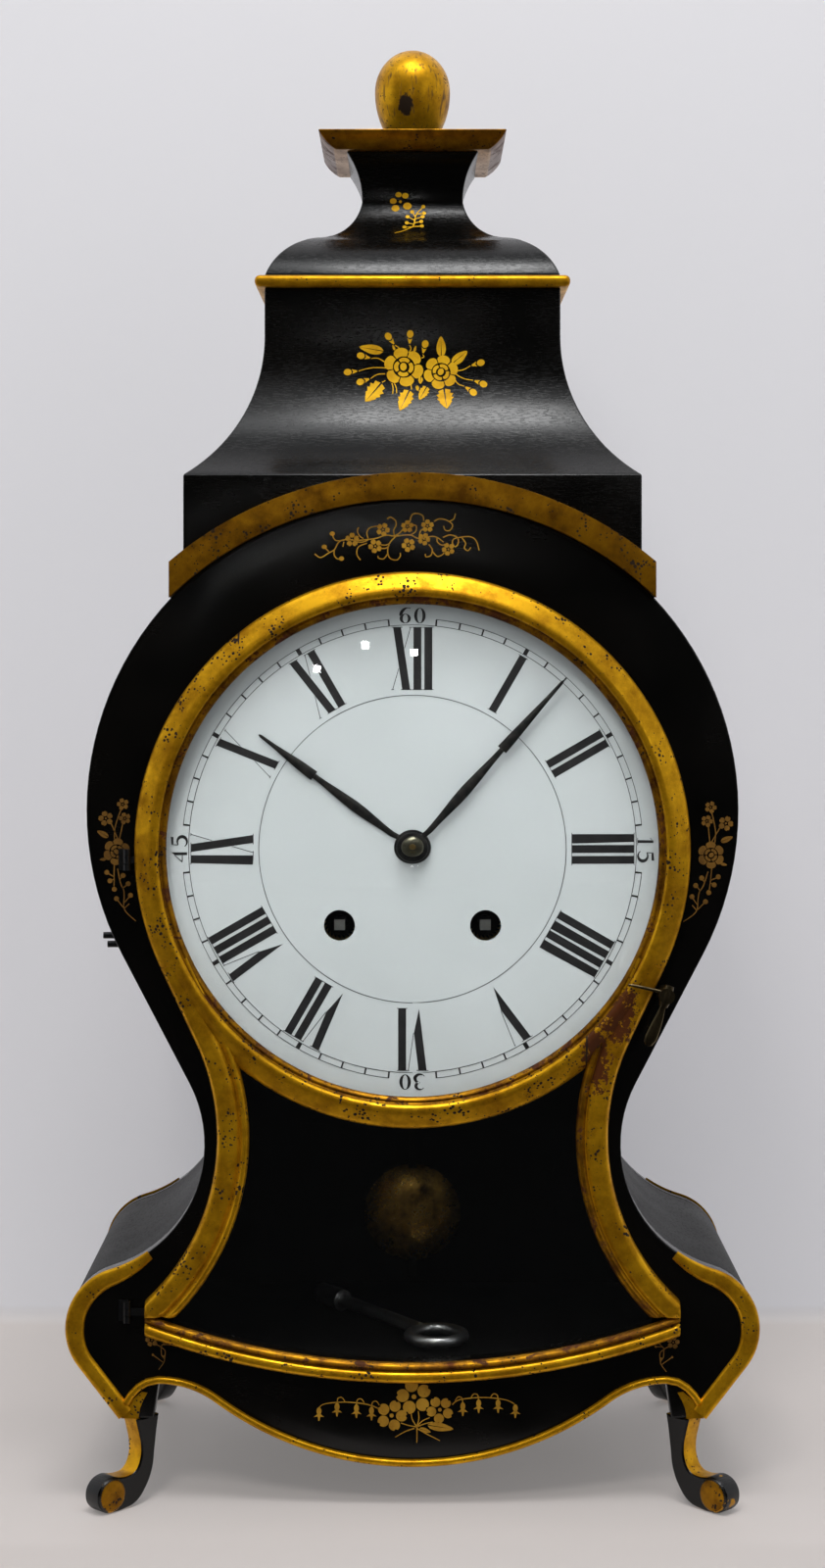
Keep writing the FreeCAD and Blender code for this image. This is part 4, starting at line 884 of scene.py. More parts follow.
def numeral(word):
    """The strokes of a Roman numeral: broad bars, hairlines and hairline feet, centred on zero."""
    widths = {"I": bar_pitch, "V": wide_letter, "X": wide_letter}
    x = -sum(widths[letter] for letter in word) / 2
    low, high = hour_inner, hour_outer
    under, over = low - hair, high + paint_gap
    branch = low + 0.394 * (high - low)
    half = (low + high) / 2
    loops, feet = [], []
    for letter in word:
        at = x + widths[letter] / 2
        if letter == "I":
            loops.append(oblique(at, at, low, high, bar_wide))
            feet += [(at, under, bar_foot), (at, over, bar_foot)]
        if letter == "V":
            loops.append([(at - 3.9, high), (at - 0.25, high), (at + 1.8, branch), (at - 0.5, low)])
            loops.append(oblique(at + 1.97, at + 4.3, branch + 0.1, high, hair))
            feet += [(at - 2.1, over, 2.7), (at + 4.3, over, 0.38)]
        if letter == "X":
            loops.append(oblique(at + 2.06, at - 2.06, low, high, bar_wide))
            loops.append(oblique(at - 4.0, at - 1.3, low, half - 4.5, hair))
            loops.append(oblique(at + 1.3, at + 4.0, half + 4.5, high, hair))
            feet += [(at + 2.06, under, bar_foot), (at - 2.06, over, bar_foot), (at - 4.0, under, 0.65),
                     (at + 4.0, over, 0.65)]
        x += widths[letter]
    return loops + [oblique(at, at, edge, edge + hair, 2 * wide) for at, edge, wide in feet]


def spun_loop(loop, degrees):
    """A loop turned clockwise about the dial's middle, off the upright by a hair so that it fills cleanly."""
    clock = math.radians(degrees + fill_turn)
    c, s = math.cos(clock), math.sin(clock)
    return [(x * c + y * s, y * c - x * s) for x, y in loop]


def ring_arc(inner, outer, start, end, count):
    """A band between two circles, from one clock angle to another."""
    out = [(outer * math.sin(a), outer * math.cos(a))
           for a in (start + (end - start) * i / count for i in range(count + 1))]
    back = [(inner * math.sin(a), inner * math.cos(a))
            for a in (end + (start - end) * i / count for i in range(count + 1))]
    return out + back


def ribbon(points, widths):
    """A stroke of changing width along a line of points."""
    left, right = [], []
    for i, (x, y) in enumerate(points):
        before, after = points[max(i - 1, 0)], points[min(i + 1, len(points) - 1)]
        dx, dy = after[0] - before[0], after[1] - before[1]
        length = math.hypot(dx, dy)
        w = widths[i] / 2
        left.append((x - dy / length * w, y + dx / length * w))
        right.append((x + dy / length * w, y - dx / length * w))
    return left + right[::-1]


def ellipse(x, y, a, b, start=0.0, end=2 * math.pi, count=24):
    """Points along an ellipse between two angles."""
    turns = [start + (end - start) * i / count for i in range(count + 1)]
    return [(x + a * math.cos(t), y + b * math.sin(t)) for t in turns]


def oval(x, y, a, b, count=24):
    """The closed loop of a whole ellipse."""
    return ellipse(x, y, a, b, count=count)[:-1]


def swelling(x, y, a, b, start, end, count, thin, thick, peak):
    """A curved stroke along an ellipse, between two angles in degrees, that swells from thin to thick and back."""
    points = ellipse(x, y, a, b, math.radians(start), math.radians(end), count)
    widths = [thin + (thick - thin) * max(0.0, math.cos((i / count - peak) * math.pi)) for i in range(count + 1)]
    return ribbon(points, widths)


def figure(digit):
    """The strokes of one old-style figure, 6.4 mm high, centred on zero."""
    high, wide = figure_high, figure_wide
    if digit == "0":
        return [oval(0, 0, wide + 0.25, high), oval(0, 0, wide - 0.85, high - 0.22)]
    if digit == "1":
        return [[(-0.5, -high), (0.5, -high), (0.5, high), (-0.4, high)],
                [(-1.3, high - 1.2), (-1.2, high - 1.45), (-0.52, high - 0.75), (-0.52, high - 0.45)],
                [(-1.3, -high - 0.26), (1.3, -high - 0.26), (1.3, -high), (-1.3, -high)]]
    if digit == "3":
        return [swelling(-0.1, 1.65, 1.45, 1.45, 150, -88, 20, 0.28, 1.05, 0.62),
                swelling(-0.1, -1.45, 1.75, 1.75, 84, -150, 22, 0.28, 1.2, 0.42)]
    if digit == "4":
        return [[(0.35, -high), (1.3, -high), (1.3, high), (0.35, high - 1.3)],
                [(0.33, high - 1.0), (0.33, high - 1.4), (-1.65, -1.0), (-1.65, -1.35), (-2.1, -1.3), (-2.1, -1.0)],
                [(-1.63, -1.05), (0.33, -1.05), (0.33, -1.4), (-1.63, -1.4)]]
    if digit == "5":
        return [swelling(-0.15, -1.15, 1.8, 2.0, 128, -150, 26, 0.28, 1.15, 0.48),
                [(-1.35, 0.5), (-1.1, 0.62), (-0.95, high), (-1.2, high)],
                [(-1.2, high + 0.02), (1.6, high + 0.35), (1.5, high - 0.75), (-0.9, high - 0.75), (-0.93, high)]]
    return [oval(0, -1.2, 1.95, 2.0), oval(0.05, -1.2, 0.88, 1.78),
            swelling(1.0, -0.9, 2.72, 4.1, 166, 72, 18, 0.3, 1.15, 0.25)]


def painted(name, loops):
    """Flat loops filled, laid on the dial's dome and given the thickness of paint."""
    piece = settle(stood(flat_curve(name, loops, "BOTH"), 0, dial_middle.z), name)
    for point in piece.data.vertices:
        off = math.hypot(point.co.x, point.co.z - dial_middle.z) / mm
        point.co.y = (dial_rim_y - dial_rise + dome - math.sqrt(dome ** 2 - off ** 2) - paint_lift) * mm
    film = piece.modifiers.new("film", "SOLIDIFY")
    film.thickness = paint_thick * mm
    film.offset = 0
    only(piece)
    bpy.ops.object.modifier_apply(modifier="film")
    return piece


hour_loops = [spun_loop(loop, 30 * i) for i, word in enumerate(hours) for loop in numeral(word)]
ladder = [ring_arc(hour_ring, hour_ring + hair, turn, turn + math.pi, 90) for turn in (0, math.pi)]
for minute in range(60):
    if minute % 15:
        tick = oblique(0, 0, track_inner + track_line + paint_gap, track_outer, 0.75 if minute % 5 else 1.9)
        ladder.append(spun_loop(tick, 6 * minute))
quarter_loops = []
for i, word in enumerate(("60", "15", "30", "45")):
    begin, stop = math.radians(90 * i), math.radians(90 * i) + math.pi / 2
    ladder.append(ring_arc(track_inner - paint_gap, track_inner + track_line, begin, stop, 45))
    ladder.append(ring_arc(track_outer + paint_gap, track_outer + track_line + paint_gap, begin + track_stop,
                           stop - track_stop, 40))
    for j, digit in enumerate(word):
        for loop in figure(digit):
            moved = [(x * figure_swell[0] + (j - 0.5) * figure_pitch, y * figure_swell[1] + quarter_ring)
                     for x, y in loop]
            quarter_loops.append(spun_loop(moved, 90 * i))

dial_paint, tree, shader = new_material("dial_paint")
fade = noise(tree, own_place(tree), 220.0, 4.0)
feed(tree, shader, {"Base Color": shades(tree, fade, paint_black, paint_faded),
                    "Roughness": span(tree, fade, 0.0, 1.0, 0.3, 0.5)})
for name, loops in (("dial_hours", hour_loops), ("dial_minutes", ladder), ("dial_quarters", quarter_loops)):
    piece = dress(painted(name, loops), dial_paint)
    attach(piece, "case")

enamel, tree, shader = new_material("fired_enamel")
spot = own_place(tree)
cloud = noise(tree, spot, 14.0, 5.0)
milk = shades(tree, cloud, enamel_grey, enamel_white, 0.3, 0.7)
pits = add(tree, "TexVoronoi", {"Vector": spot, "Scale": 420.0}).outputs["Distance"]
pitted = blend(tree, 1.0, milk, span(tree, pits, 0.05, 0.09, 0.82, 1.0), blend_type="MULTIPLY")
feed(tree, shader, {"Base Color": pitted, "Roughness": span(tree, cloud, 0.0, 1.0, 0.10, 0.2)})
roughen(tree, shader, cloud, 0.08, 0.5)
dress(nodes["dial"], enamel)


# Latch: a swivel hook of dark bronze, pinned to the case, whose wire end lies over the dial ring.
# A short barrel carries the wire on one side and a flat thumb paddle on the other.
wire_line = [(112.6, 231.4), (108.0, 232.6), (103.0, 233.7), (99.0, 234.6), (96.0, 235.1)]
barrel_line = [(114.3, 234.6), (113.2, 231.0), (112.0, 227.2), (111.4, 225.4)]
paddle_line = [(111.3, 225.2), (109.6, 220.4), (107.7, 215.6), (106.0, 211.6), (104.6, 209.0), (104.0, 208.2)]
wire_halves = [0.85, 0.8, 0.75, 0.7, 0.4]
barrel_halves = [2.0, 2.5, 2.4, 1.9]
paddle_halves = [1.2, 1.9, 2.5, 2.75, 2.1, 0.8]
round_section = [(math.cos(math.pi * i / 8), math.sin(math.pi * i / 8)) for i in range(16)]
paddle_section = [(x, 0.36 * y) for x, y in round_section]


def worked_metal(name, bright, tarnish, share, rough, marks=(1.0, 1.0, 1.0)):
    """A filed and rubbed metal with patches of tarnish; marks stretch the tool marks along an axis."""
    material, tree, shader = new_material(name)
    made = place_group(tree, metal_skin, Bright=(*bright, 1.0), Tarnish=(*tarnish, 1.0), Share=share, Rough=rough,
                       Marks=marks)
    feed(tree, shader, {"Base Color": made["Color"], "Roughness": made["Roughness"], "Metallic": 1.0})
    roughen(tree, shader, made["Height"], 0.12, 0.1)
    return material


metal_skin, start, end = new_group(
    "metal_skin",
    [("Bright", colour, None), ("Tarnish", colour, None), ("Share", number, 0.5), ("Rough", number, 0.3),
     ("Marks", "NodeSocketVector", (1.0, 1.0, 1.0))],
    [("Color", colour), ("Roughness", number), ("Height", number)])
where = own_place(metal_skin)
laid = add(metal_skin, "VectorMath", {0: where, 1: start["Marks"]}, operation="MULTIPLY").outputs["Vector"]
marks = noise(metal_skin, laid, 900.0, 3.0)
begin = span(metal_skin, start["Share"], 0.0, 1.0, 0.75, 0.25)
bloom = noise(metal_skin, where, 70.0, 6.0, Roughness=0.65)
dull = span(metal_skin, bloom, begin, sums(metal_skin, "ADD", begin, 0.22))
lifted = sums(metal_skin, "ADD", sums(metal_skin, "MULTIPLY", dull, 0.22), start["Rough"])
fine = sums(metal_skin, "MULTIPLY_ADD", marks, 0.12, -0.06)
feed(metal_skin, end, {"Color": blend(metal_skin, dull, start["Bright"], start["Tarnish"]),
                       "Roughness": sums(metal_skin, "ADD", lifted, fine), "Height": marks})

bronze = worked_metal("dark_bronze", (0.15, 0.115, 0.06), (0.025, 0.02, 0.014), 0.6, 0.34)
hook_low, hook_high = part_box("latch_hook")
hook_y = (hook_low.y + hook_high.y) / 2 / mm
parts = [moulded(line, section, hook_y, halves) for line, section, halves in (
    (wire_line, round_section, wire_halves), (barrel_line, round_section, barrel_halves),
    (paddle_line, paddle_section, paddle_halves))]
hook = dress(joined(parts, "latch_hook_forged"), bronze)
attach(hook, "latch")
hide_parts("latch_hook")
dress(nodes["latch_post"], bronze)


# Hinges and studs: small steel knuckles let into the door's edge, and two turned studs on the left wall.
# All of it is drawn wire and filed plate, gone dark.
dark_steel = worked_metal("dark_steel", (0.09, 0.09, 0.092), (0.03, 0.028, 0.026), 0.5, 0.36)
for name in ("hinge_case_leaves", "hinge_door_leaves", "side_studs"):
    dress(nodes[name], dark_steel)


# Hands: two forged steel blades, blued nearly black, swelling and then stepped to a long point.
# The hour hand is pressed on its pipe, the minute hand on its square under a domed collet.
blade_section = [(-1.0, 0.0), (-0.93, 0.24), (-0.72, 0.4), (-0.38, 0.5), (0.0, 0.53), (0.38, 0.5), (0.72, 0.4),
                 (0.93, 0.24), (1.0, 0.0)]
hand_turns = {"hour_hand": math.radians(306.7), "minute_hand": math.radians(41.8)}
hand_lengths = {"hour_hand": (55.0, 86.0), "minute_hand": (60.0, 101.6)}
blade_steps = [(0.09, 1.15), (0.3, 1.5), (0.5, 2.35), (0.6, 2.45), (0.75, 2.0), (0.9, 1.4), (1.0, 1.2)]
hour_boss = [(4.1, 0.0), (8.2, 0.0), (8.3, -0.5), (7.9, -1.0), (6.8, -1.25), (4.1, -1.25)]
minute_boss = [(1.8, 0.0), (7.0, 0.0), (7.2, -0.4), (6.9, -0.9), (5.4, -1.1), (1.8, -1.1)]
collet_dome = [(0.0, -1.0), (5.1, -1.0), (4.9, -1.9), (4.2, -2.6), (3.0, -3.0), (1.8, -3.2), (0.7, -3.25),
               (0.35, -3.0), (0.0, -3.0)]
blue_black = (0.011, 0.011, 0.012, 1.0)
rust_black = (0.04, 0.037, 0.033, 1.0)

blued, tree, shader = new_material("blued_steel")
scale_marks = noise(tree, own_place(tree), 300.0, 5.0)
feed(tree, shader, {"Base Color": shades(tree, scale_marks, blue_black, rust_black, 0.35, 0.75),
                    "Roughness": span(tree, scale_marks, 0.0, 1.0, 0.25, 0.5), "Metallic": 0.6})
collet_bronze = worked_metal("collet_bronze", (0.22, 0.21, 0.15), (0.07, 0.065, 0.045), 0.45, 0.3)
for name, rings in (("hour_hand", [(hour_boss, blued)]),
                    ("minute_hand", [(minute_boss, blued), (collet_dome, collet_bronze)])):
    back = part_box(name)[1].y / mm
    shoulder, length = hand_lengths[name]
    turn = hand_turns[name]
    run = [(shoulder * share, half) for share, half in blade_steps]
    run += [(shoulder + 0.05, 2.45), (shoulder + 8.0, 2.2), (length * 0.9, 1.0), (length - 1.0, 0.7), (length, 0.3)]
    path = [(d * math.sin(turn), dial_z + d * math.cos(turn)) for d, half in run]
    parts = [dress(moulded(path, blade_section, back, [half for d, half in run]), blued)]
    for section, skin in rings:
        parts.append(dress(turned([(r, back + d) for r, d in section], 48, "collet"), skin))
    piece = joined(parts, name + "_forged")
    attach(piece, name)
    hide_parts(name)


# Movement: two trains of brass wheels with steel pinions between cast plates, on an oak seat board.
# The plates are filed and dulled by age; springs, clicks and winding arbors are grey steel, and the arbors are painted
# black behind the dial's face as painted shade in the winding holes.
bell_marks = (0.3, 0.3, 3.0)
# Painted shade in the winding holes: behind the dial's face the arbor steel is blended to near-black, where the holes
# are dark.
hole_shade_black = (0.006, 0.005, 0.004, 1.0)
hole_shade_start = (dial_rim_y + 1.2) * mm
hole_shade_full = (dial_rim_y + 1.6) * mm
oak_dark = (0.17, 0.10, 0.05, 1.0)
oak_pale = (0.30, 0.19, 0.10, 1.0)
oak_pore = (0.07, 0.04, 0.02, 1.0)
arbor_steel_and_hole_shade = worked_metal("arbor_steel_and_hole_shade", (0.40, 0.40, 0.38), (0.2, 0.19, 0.17), 0.4, 0.4)
tree = arbor_steel_and_hole_shade.node_tree
shader = tree.nodes["Principled BSDF"]
steel = shader.inputs["Base Color"].links[0].from_socket
# Painted shade: the arbors turn near-black from just behind the dial's face inwards.
hole_shade = span(tree, add(tree, "SeparateXYZ", {"Vector": own_place(tree)}).outputs["Y"], hole_shade_start, hole_shade_full)
feed(tree, shader, {"Base Color": blend(tree, hole_shade, steel, hole_shade_black)})
works = {
    worked_metal("old_brass", (0.50, 0.33, 0.11), (0.17, 0.10, 0.035), 0.5, 0.34):
        "front_plate back_plate pillars back_cock going_barrel strike_barrel",
    worked_metal("wheel_brass", (0.58, 0.40, 0.15), (0.26, 0.16, 0.05), 0.4, 0.28):
        "intermediate_wheel centre_wheel third_wheel escape_wheel second_wheel pin_wheel locking_wheel fly "
        "cannon_pinion minute_wheel hour_wheel",
    worked_metal("bob_brass", (0.40, 0.23, 0.045), (0.05, 0.028, 0.008), 0.6, 0.26): "pendulum_bob",
    # The pendulum rod is painted near-black: painted shade for the dark inside of the case.
    worked_metal("rod_painted_shade", (0.010, 0.009, 0.007), (0.004, 0.004, 0.003), 0.7, 0.3): "pendulum_rod",
    worked_metal("bell_bronze", (0.52, 0.40, 0.22), (0.24, 0.16, 0.07), 0.45, 0.26, bell_marks): "bell",
    worked_metal("bright_steel", (0.50, 0.50, 0.49), (0.2, 0.185, 0.17), 0.4, 0.26):
        "going_mainspring strike_mainspring",
    worked_metal("grey_steel", (0.42, 0.42, 0.42), (0.10, 0.09, 0.08), 0.45, 0.33):
        "going_click strike_click anchor suspension_spring hammer bell_stand winding_key",
    arbor_steel_and_hole_shade: "going_winding_arbor strike_winding_arbor",
}
for metal, names in works.items():
    for name in names.split():
        dress(nodes[name], metal)

oak, tree, shader = new_material("seat_oak")
grain = place_group(tree, pores, Length=40.0, Width=700.0)
tone = shades(tree, grain["Figure"], oak_dark, oak_pale)
feed(tree, shader, {"Base Color": blend(tree, grain["Pores"], tone, oak_pore), "Roughness": 0.65})
roughen(tree, shader, grain["Pores"], 0.4, 0.3, invert=True)
dress(nodes["seat_board"], oak)


# Painted sprays: roses, vines, bell flowers and sprigs laid freehand on the lacquer in gold size and leaf.
# Fine gaps in the leaf draw the veins and petal edges; the sprays low on the case have gone brown.
leaf_thick = 0.05
leaf_lift = 0.03
layer_lift = 0.06
photo_grid = 0.44


def smooth(points, per=6):
    """A flowing line through a few points."""
    ends = [points[0]] + list(points) + [points[-1]]
    line = []
    for four in zip(ends, ends[1:], ends[2:], ends[3:]):
        for i in range(per):
            t = i / per
            line.append(tuple(0.5 * (2 * b + (c - a) * t + (2 * a - 5 * b + 4 * c - d) * t ** 2
                                     + (3 * b - a - 3 * c + d) * t ** 3) for a, b, c, d in zip(*four)))
    return line + [points[-1]]


def stem(points, wide=1.2, tip=0.8):
    """A brushed line through a few points, thinning to its tip."""
    line = smooth(points)
    last = len(line) - 1
    return ribbon(line, [wide + (tip - wide) * i / last for i in range(last + 1)])


def stems(lines, wide=1.2, tip=0.8):
    """A brushed line for each row of points."""
    return [stem(line, wide, tip) for line in lines]


def placed(loops, x, y, turn=0.0, size=1.0):
    """Loops of one motif turned, sized and set in a drawing."""
    c = math.cos(math.radians(turn)) * size
    s = math.sin(math.radians(turn)) * size
    return [[(x + px * c - py * s, y + px * s + py * c) for px, py in loop] for loop in loops]


def between(loops, start, end, wide=1.0):
    """A motif one unit tall, stretched from one point to another."""
    size = math.hypot(end[0] - start[0], end[1] - start[1])
    turn = math.degrees(math.atan2(end[1] - start[1], end[0] - start[0])) - 90
    return placed([[(px * wide, py) for px, py in loop] for loop in loops], start[0], start[1], turn, size)


def many(motif, rows):
    """A motif stretched between the points of each row, with the row's width."""
    return [loop for start, end, wide in rows for loop in between(motif, start, end, wide)]


def dotted(points, wide, high, count=12):
    """A dot at each point."""
    return [oval(x, y, wide, high, count) for x, y in points]


def other_hand(layers):
    """The mirror image of a drawing."""
    return [[[(-x, y) for x, y in loop] for loop in loops] for loops in layers]


def leaf_halves(teeth):
    """A leaf one unit long and wide, in two halves parted by its vein; teeth saw its edge."""
    halves = []
    count = 2 * teeth if teeth else 12
    for side in (-1, 1):
        vein = [(side * 0.055 * (1 - t), t) for t in (0.05, 0.5, 0.97)]
        edge = []
        for i in range(1, count):
            t = 0.97 - 0.9 * i / count
            cut = 0.68 if teeth and i % 2 == 0 else 1.0
            hook = 0.05 if cut == 1.0 and teeth else 0
            edge.append((side * (0.06 + 0.44 * cut * math.sin(math.pi * t ** 0.8)), t - hook))
        halves.append(vein + edge)
    return halves


def rosette(count):
    """A flower of round petals about a dot, one unit in radius."""
    petals = [oval(0, 0, 0.13, 0.13, 10)]
    for i in range(count):
        petal = [(x, y - 0.1 * max(0.0, 1 - abs(x) / 0.12) * (y > 0.7)) for x, y in
                 ellipse(0, 0.62, 0.35 * 5 / count, 0.35, -math.pi / 2, 1.5 * math.pi, 18)[:-1]]
        petals += placed([petal], 0, 0, 360 * i / count)
    return petals


def petal_ring(count, inner, outer, turn, gap, lobe):
    """One whorl of a rose: broad petals with lobed edges, parted by fine gaps given in degrees."""
    whorl = []
    shares = [j / 10 for j in range(11)]
    for i in range(count):
        start, end = turn + 360 * i / count + gap, turn + 360 * (i + 1) / count - gap
        angles = [math.radians(start + (end - start) * u) for u in shares]
        reach = [outer * (1 - lobe + lobe * math.sin(math.pi * u) ** 0.6) for u in shares]
        whorl.append([(r * math.cos(a), r * math.sin(a)) for r, a in zip(reach, angles)]
                     + [(inner * math.cos(a), inner * math.sin(a)) for a in angles[::-1]])
    return whorl


rose = petal_ring(6, 0.56, 1.02, 12, 2.4, 0.2) + petal_ring(4, 0.29, 0.5, 40, 6.0, 0.12)
rose += [oval(-0.02, 0.02, 0.17, 0.21, 16)]
bud = [ellipse(0, 0.74, 0.23, 0.27, 0.35, 2 * math.pi - 0.05, 16),
       [(-0.05, 0.1), (0.05, 0.1), (0.17, 0.45), (0.0, 0.36), (-0.17, 0.45)]]
bell_flower = [oval(0, -0.34, 0.22, 0.34, 14),
               [(-0.16, -0.62), (0.16, -0.62), (0.46, -0.86), (0.12, -0.82), (0.05, -1.2), (-0.05, -1.2),
                (-0.12, -0.82), (-0.46, -0.86)]]
plain_leaf = leaf_halves(0)
rose_leaf = leaf_halves(5)
small_flower = rosette(5)


def budded(base, tip, size):
    """A bud at the end of its stalk."""
    way = Vector((tip[0] - base[0], tip[1] - base[1])).normalized()
    neck = (tip[0] - way.x * size * 0.5, tip[1] - way.y * size * 0.5)
    end = (tip[0] + way.x * size * 0.5, tip[1] + way.y * size * 0.5)
    sag = (way.y * size * 0.12, -way.x * size * 0.12)
    middle = ((base[0] + neck[0]) / 2 + sag[0], (base[1] + neck[1]) / 2 + sag[1])
    return stem([base, middle, neck]), between(bud, neck, end)


def spray(name, layers, place, ground, paint, grid=photo_grid):
    """Lays a drawing on a lacquered face, one thin layer of leaf over another."""
    films = []
    for layer, loops in enumerate(layers):
        strokes = [flat_curve(name, [[(x * grid, y * grid) for x, y in loop]], "BOTH") for loop in loops]
        only(strokes[0])
        for stroke in strokes:
            stroke.select_set(True)
        bpy.ops.object.convert(target="MESH")
        film = joined(list(bpy.context.selected_objects), name)
        film.rotation_euler.x = math.pi / 2
        film.location = (place[0] * mm, -0.2, place[1] * mm)
        settle(film, name)
        lie = film.modifiers.new("lie", "SHRINKWRAP")
        lie.target = bpy.data.objects[ground + "_eased"]
        lie.wrap_method = "PROJECT"
        lie.wrap_mode = "ABOVE_SURFACE"
        lie.use_project_y = True
        lie.offset = (leaf_lift + layer_lift * layer) * mm
        body = film.modifiers.new("body", "SOLIDIFY")
        body.thickness = leaf_thick * mm
        body.offset = 0
        bpy.ops.object.modifier_apply(modifier="lie")
        bpy.ops.object.modifier_apply(modifier="body")
        films.append(film)
    piece = dress(joined(films, name), paint)
    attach(piece, "case")


def gold_paint(name, bright, dull, wear):
    """Leaf laid in size straight on the lacquer, rubbed thin in places."""
    material, tree, shader = new_material(name)
    gold = place_group(tree, leaf, Wear=wear, Specks=0.2, Bright=(*bright, 1.0), Dull=(*dull, 1.0))
    feed(tree, shader, {"Base Color": gold["Color"], "Metallic": 0.35, "Roughness": 0.42,
                        "Specular IOR Level": leaf_gloss})
    roughen(tree, shader, gold["Height"], 0.2, 0.2)
    return material


paint_bright = gold_paint("spray_gold", (0.80, 0.46, 0.016), (0.56, 0.28, 0.008), 0.3)
paint_mid = gold_paint("spray_gold_mid", (0.60, 0.33, 0.035), (0.38, 0.19, 0.02), 0.3)
paint_brown = gold_paint("spray_gold_brown", (0.27, 0.135, 0.025), (0.13, 0.065, 0.016), 0.4)


# Drawings: the sprays themselves, drawn point by point, with the stalks under the flowers.
# The bouquet of two roses lies on the roof of the hood.
heads = placed(rose, -8.9, 6.8, 0, 20.0) + placed(rose, 29.0, 1.5, -25, 17.5)
stalks = []
for base, tip in (((-12.6, 22.0), (-22.6, 35.7)), ((-3.6, 22.0), (-2.6, 37.3)), ((9.5, 16.2), (12.2, 27.3)),
                  ((-29.0, 12.5), (-49.4, 17.8)), ((-27.0, 6.0), (-62.6, 2.0)), ((-28.0, -0.1), (-49.9, -7.5)),
                  ((42.0, 3.0), (66.3, 10.4)), ((43.0, 0.4), (69.0, -9.6)), ((43.0, -5.9), (59.0, -17.5))):
    stalk, head = budded(base, tip, 15.0)
    stalks.append(stalk)
    heads += head
heads += many(plain_leaf, (((-28.4, 23.1), (-55.2, 27.8), 0.36), ((29.5, 16.5), (29.0, 39.5), 0.42),
                           ((39.5, 9.5), (56.5, 24.0), 0.44), ((-18.0, 24.0), (-20.5, 30.0), 0.35),
                           ((1.5, 22.0), (3.5, 29.0), 0.35), ((4.5, -12.0), (5.5, -18.5), 0.5),
                           ((8.5, -3.0), (8.0, -11.0), 0.6)))
heads += many(rose_leaf, (((-31.0, -9.0), (-48.6, -30.0), 0.66), ((-2.6, -16.5), (-13.4, -39.5), 0.62),
                          ((15.0, -13.0), (6.5, -28.0), 0.62), ((32.0, -15.0), (35.0, -37.5), 0.78)))
stalks += stems((((-21.0, -10.0), (-19.8, -15.0), (-20.2, -21.5)), ((-18.5, -10.0), (-16.5, -15.0), (-16.2, -20.5)),
                 ((-1.5, -11.0), (-1.0, -16.5)), ((-31.0, -9.0), (-27.5, -7.0)), ((29.5, 16.5), (30.0, 13.0))))
spray("hood_bouquet", [stalks, heads], (0.0, 512.0), "hood_body", paint_bright, 0.456)

# The small flower and budded sprig on the neck.
heads = [oval(x, y, size, size * 0.85, 16) for x, y, size in (
    (-17.3, 6.7, 4.0), (-5.2, 9.0, 4.4), (-19.6, 14.3, 3.4), (-7.3, 19.7, 3.4), (-14.2, 20.7, 3.2))]
heads += dotted([(-12.3, 13.6)], 1.5, 1.5, 10)
stalks = [stem([(-18.0, -21.7), (-8.8, -18.6), (0.3, -14.0), (7.5, -13.4)], 0.8, 1.4),
          stem([(0.3, -14.0), (1.9, -9.0), (3.2, -2.0), (5.0, 2.0), (11.0, 8.0)], 1.5, 1.0)]
for foot, tip in (((3.0, -3.0), (-0.4, 2.8)), ((2.4, -6.5), (-5.0, -2.5)), ((1.4, -11.0), (-5.8, -9.4)),
                  ((0.3, -14.0), (-8.1, -14.5)), ((3.0, -13.8), (9.5, -13.2)), ((1.9, -9.5), (8.8, -7.9)),
                  ((2.6, -5.0), (10.3, -2.5)), ((4.2, 0.4), (11.8, 1.3)), ((9.0, 6.0), (11.0, 8.4))):
    stalks.append(stem([foot, tip], 1.0, 0.8))
    heads += dotted([tip], 2.1, 1.9)
spray("neck_sprig", [stalks, heads], (0.0, 593.0), "hood_cap", paint_bright, 0.475)

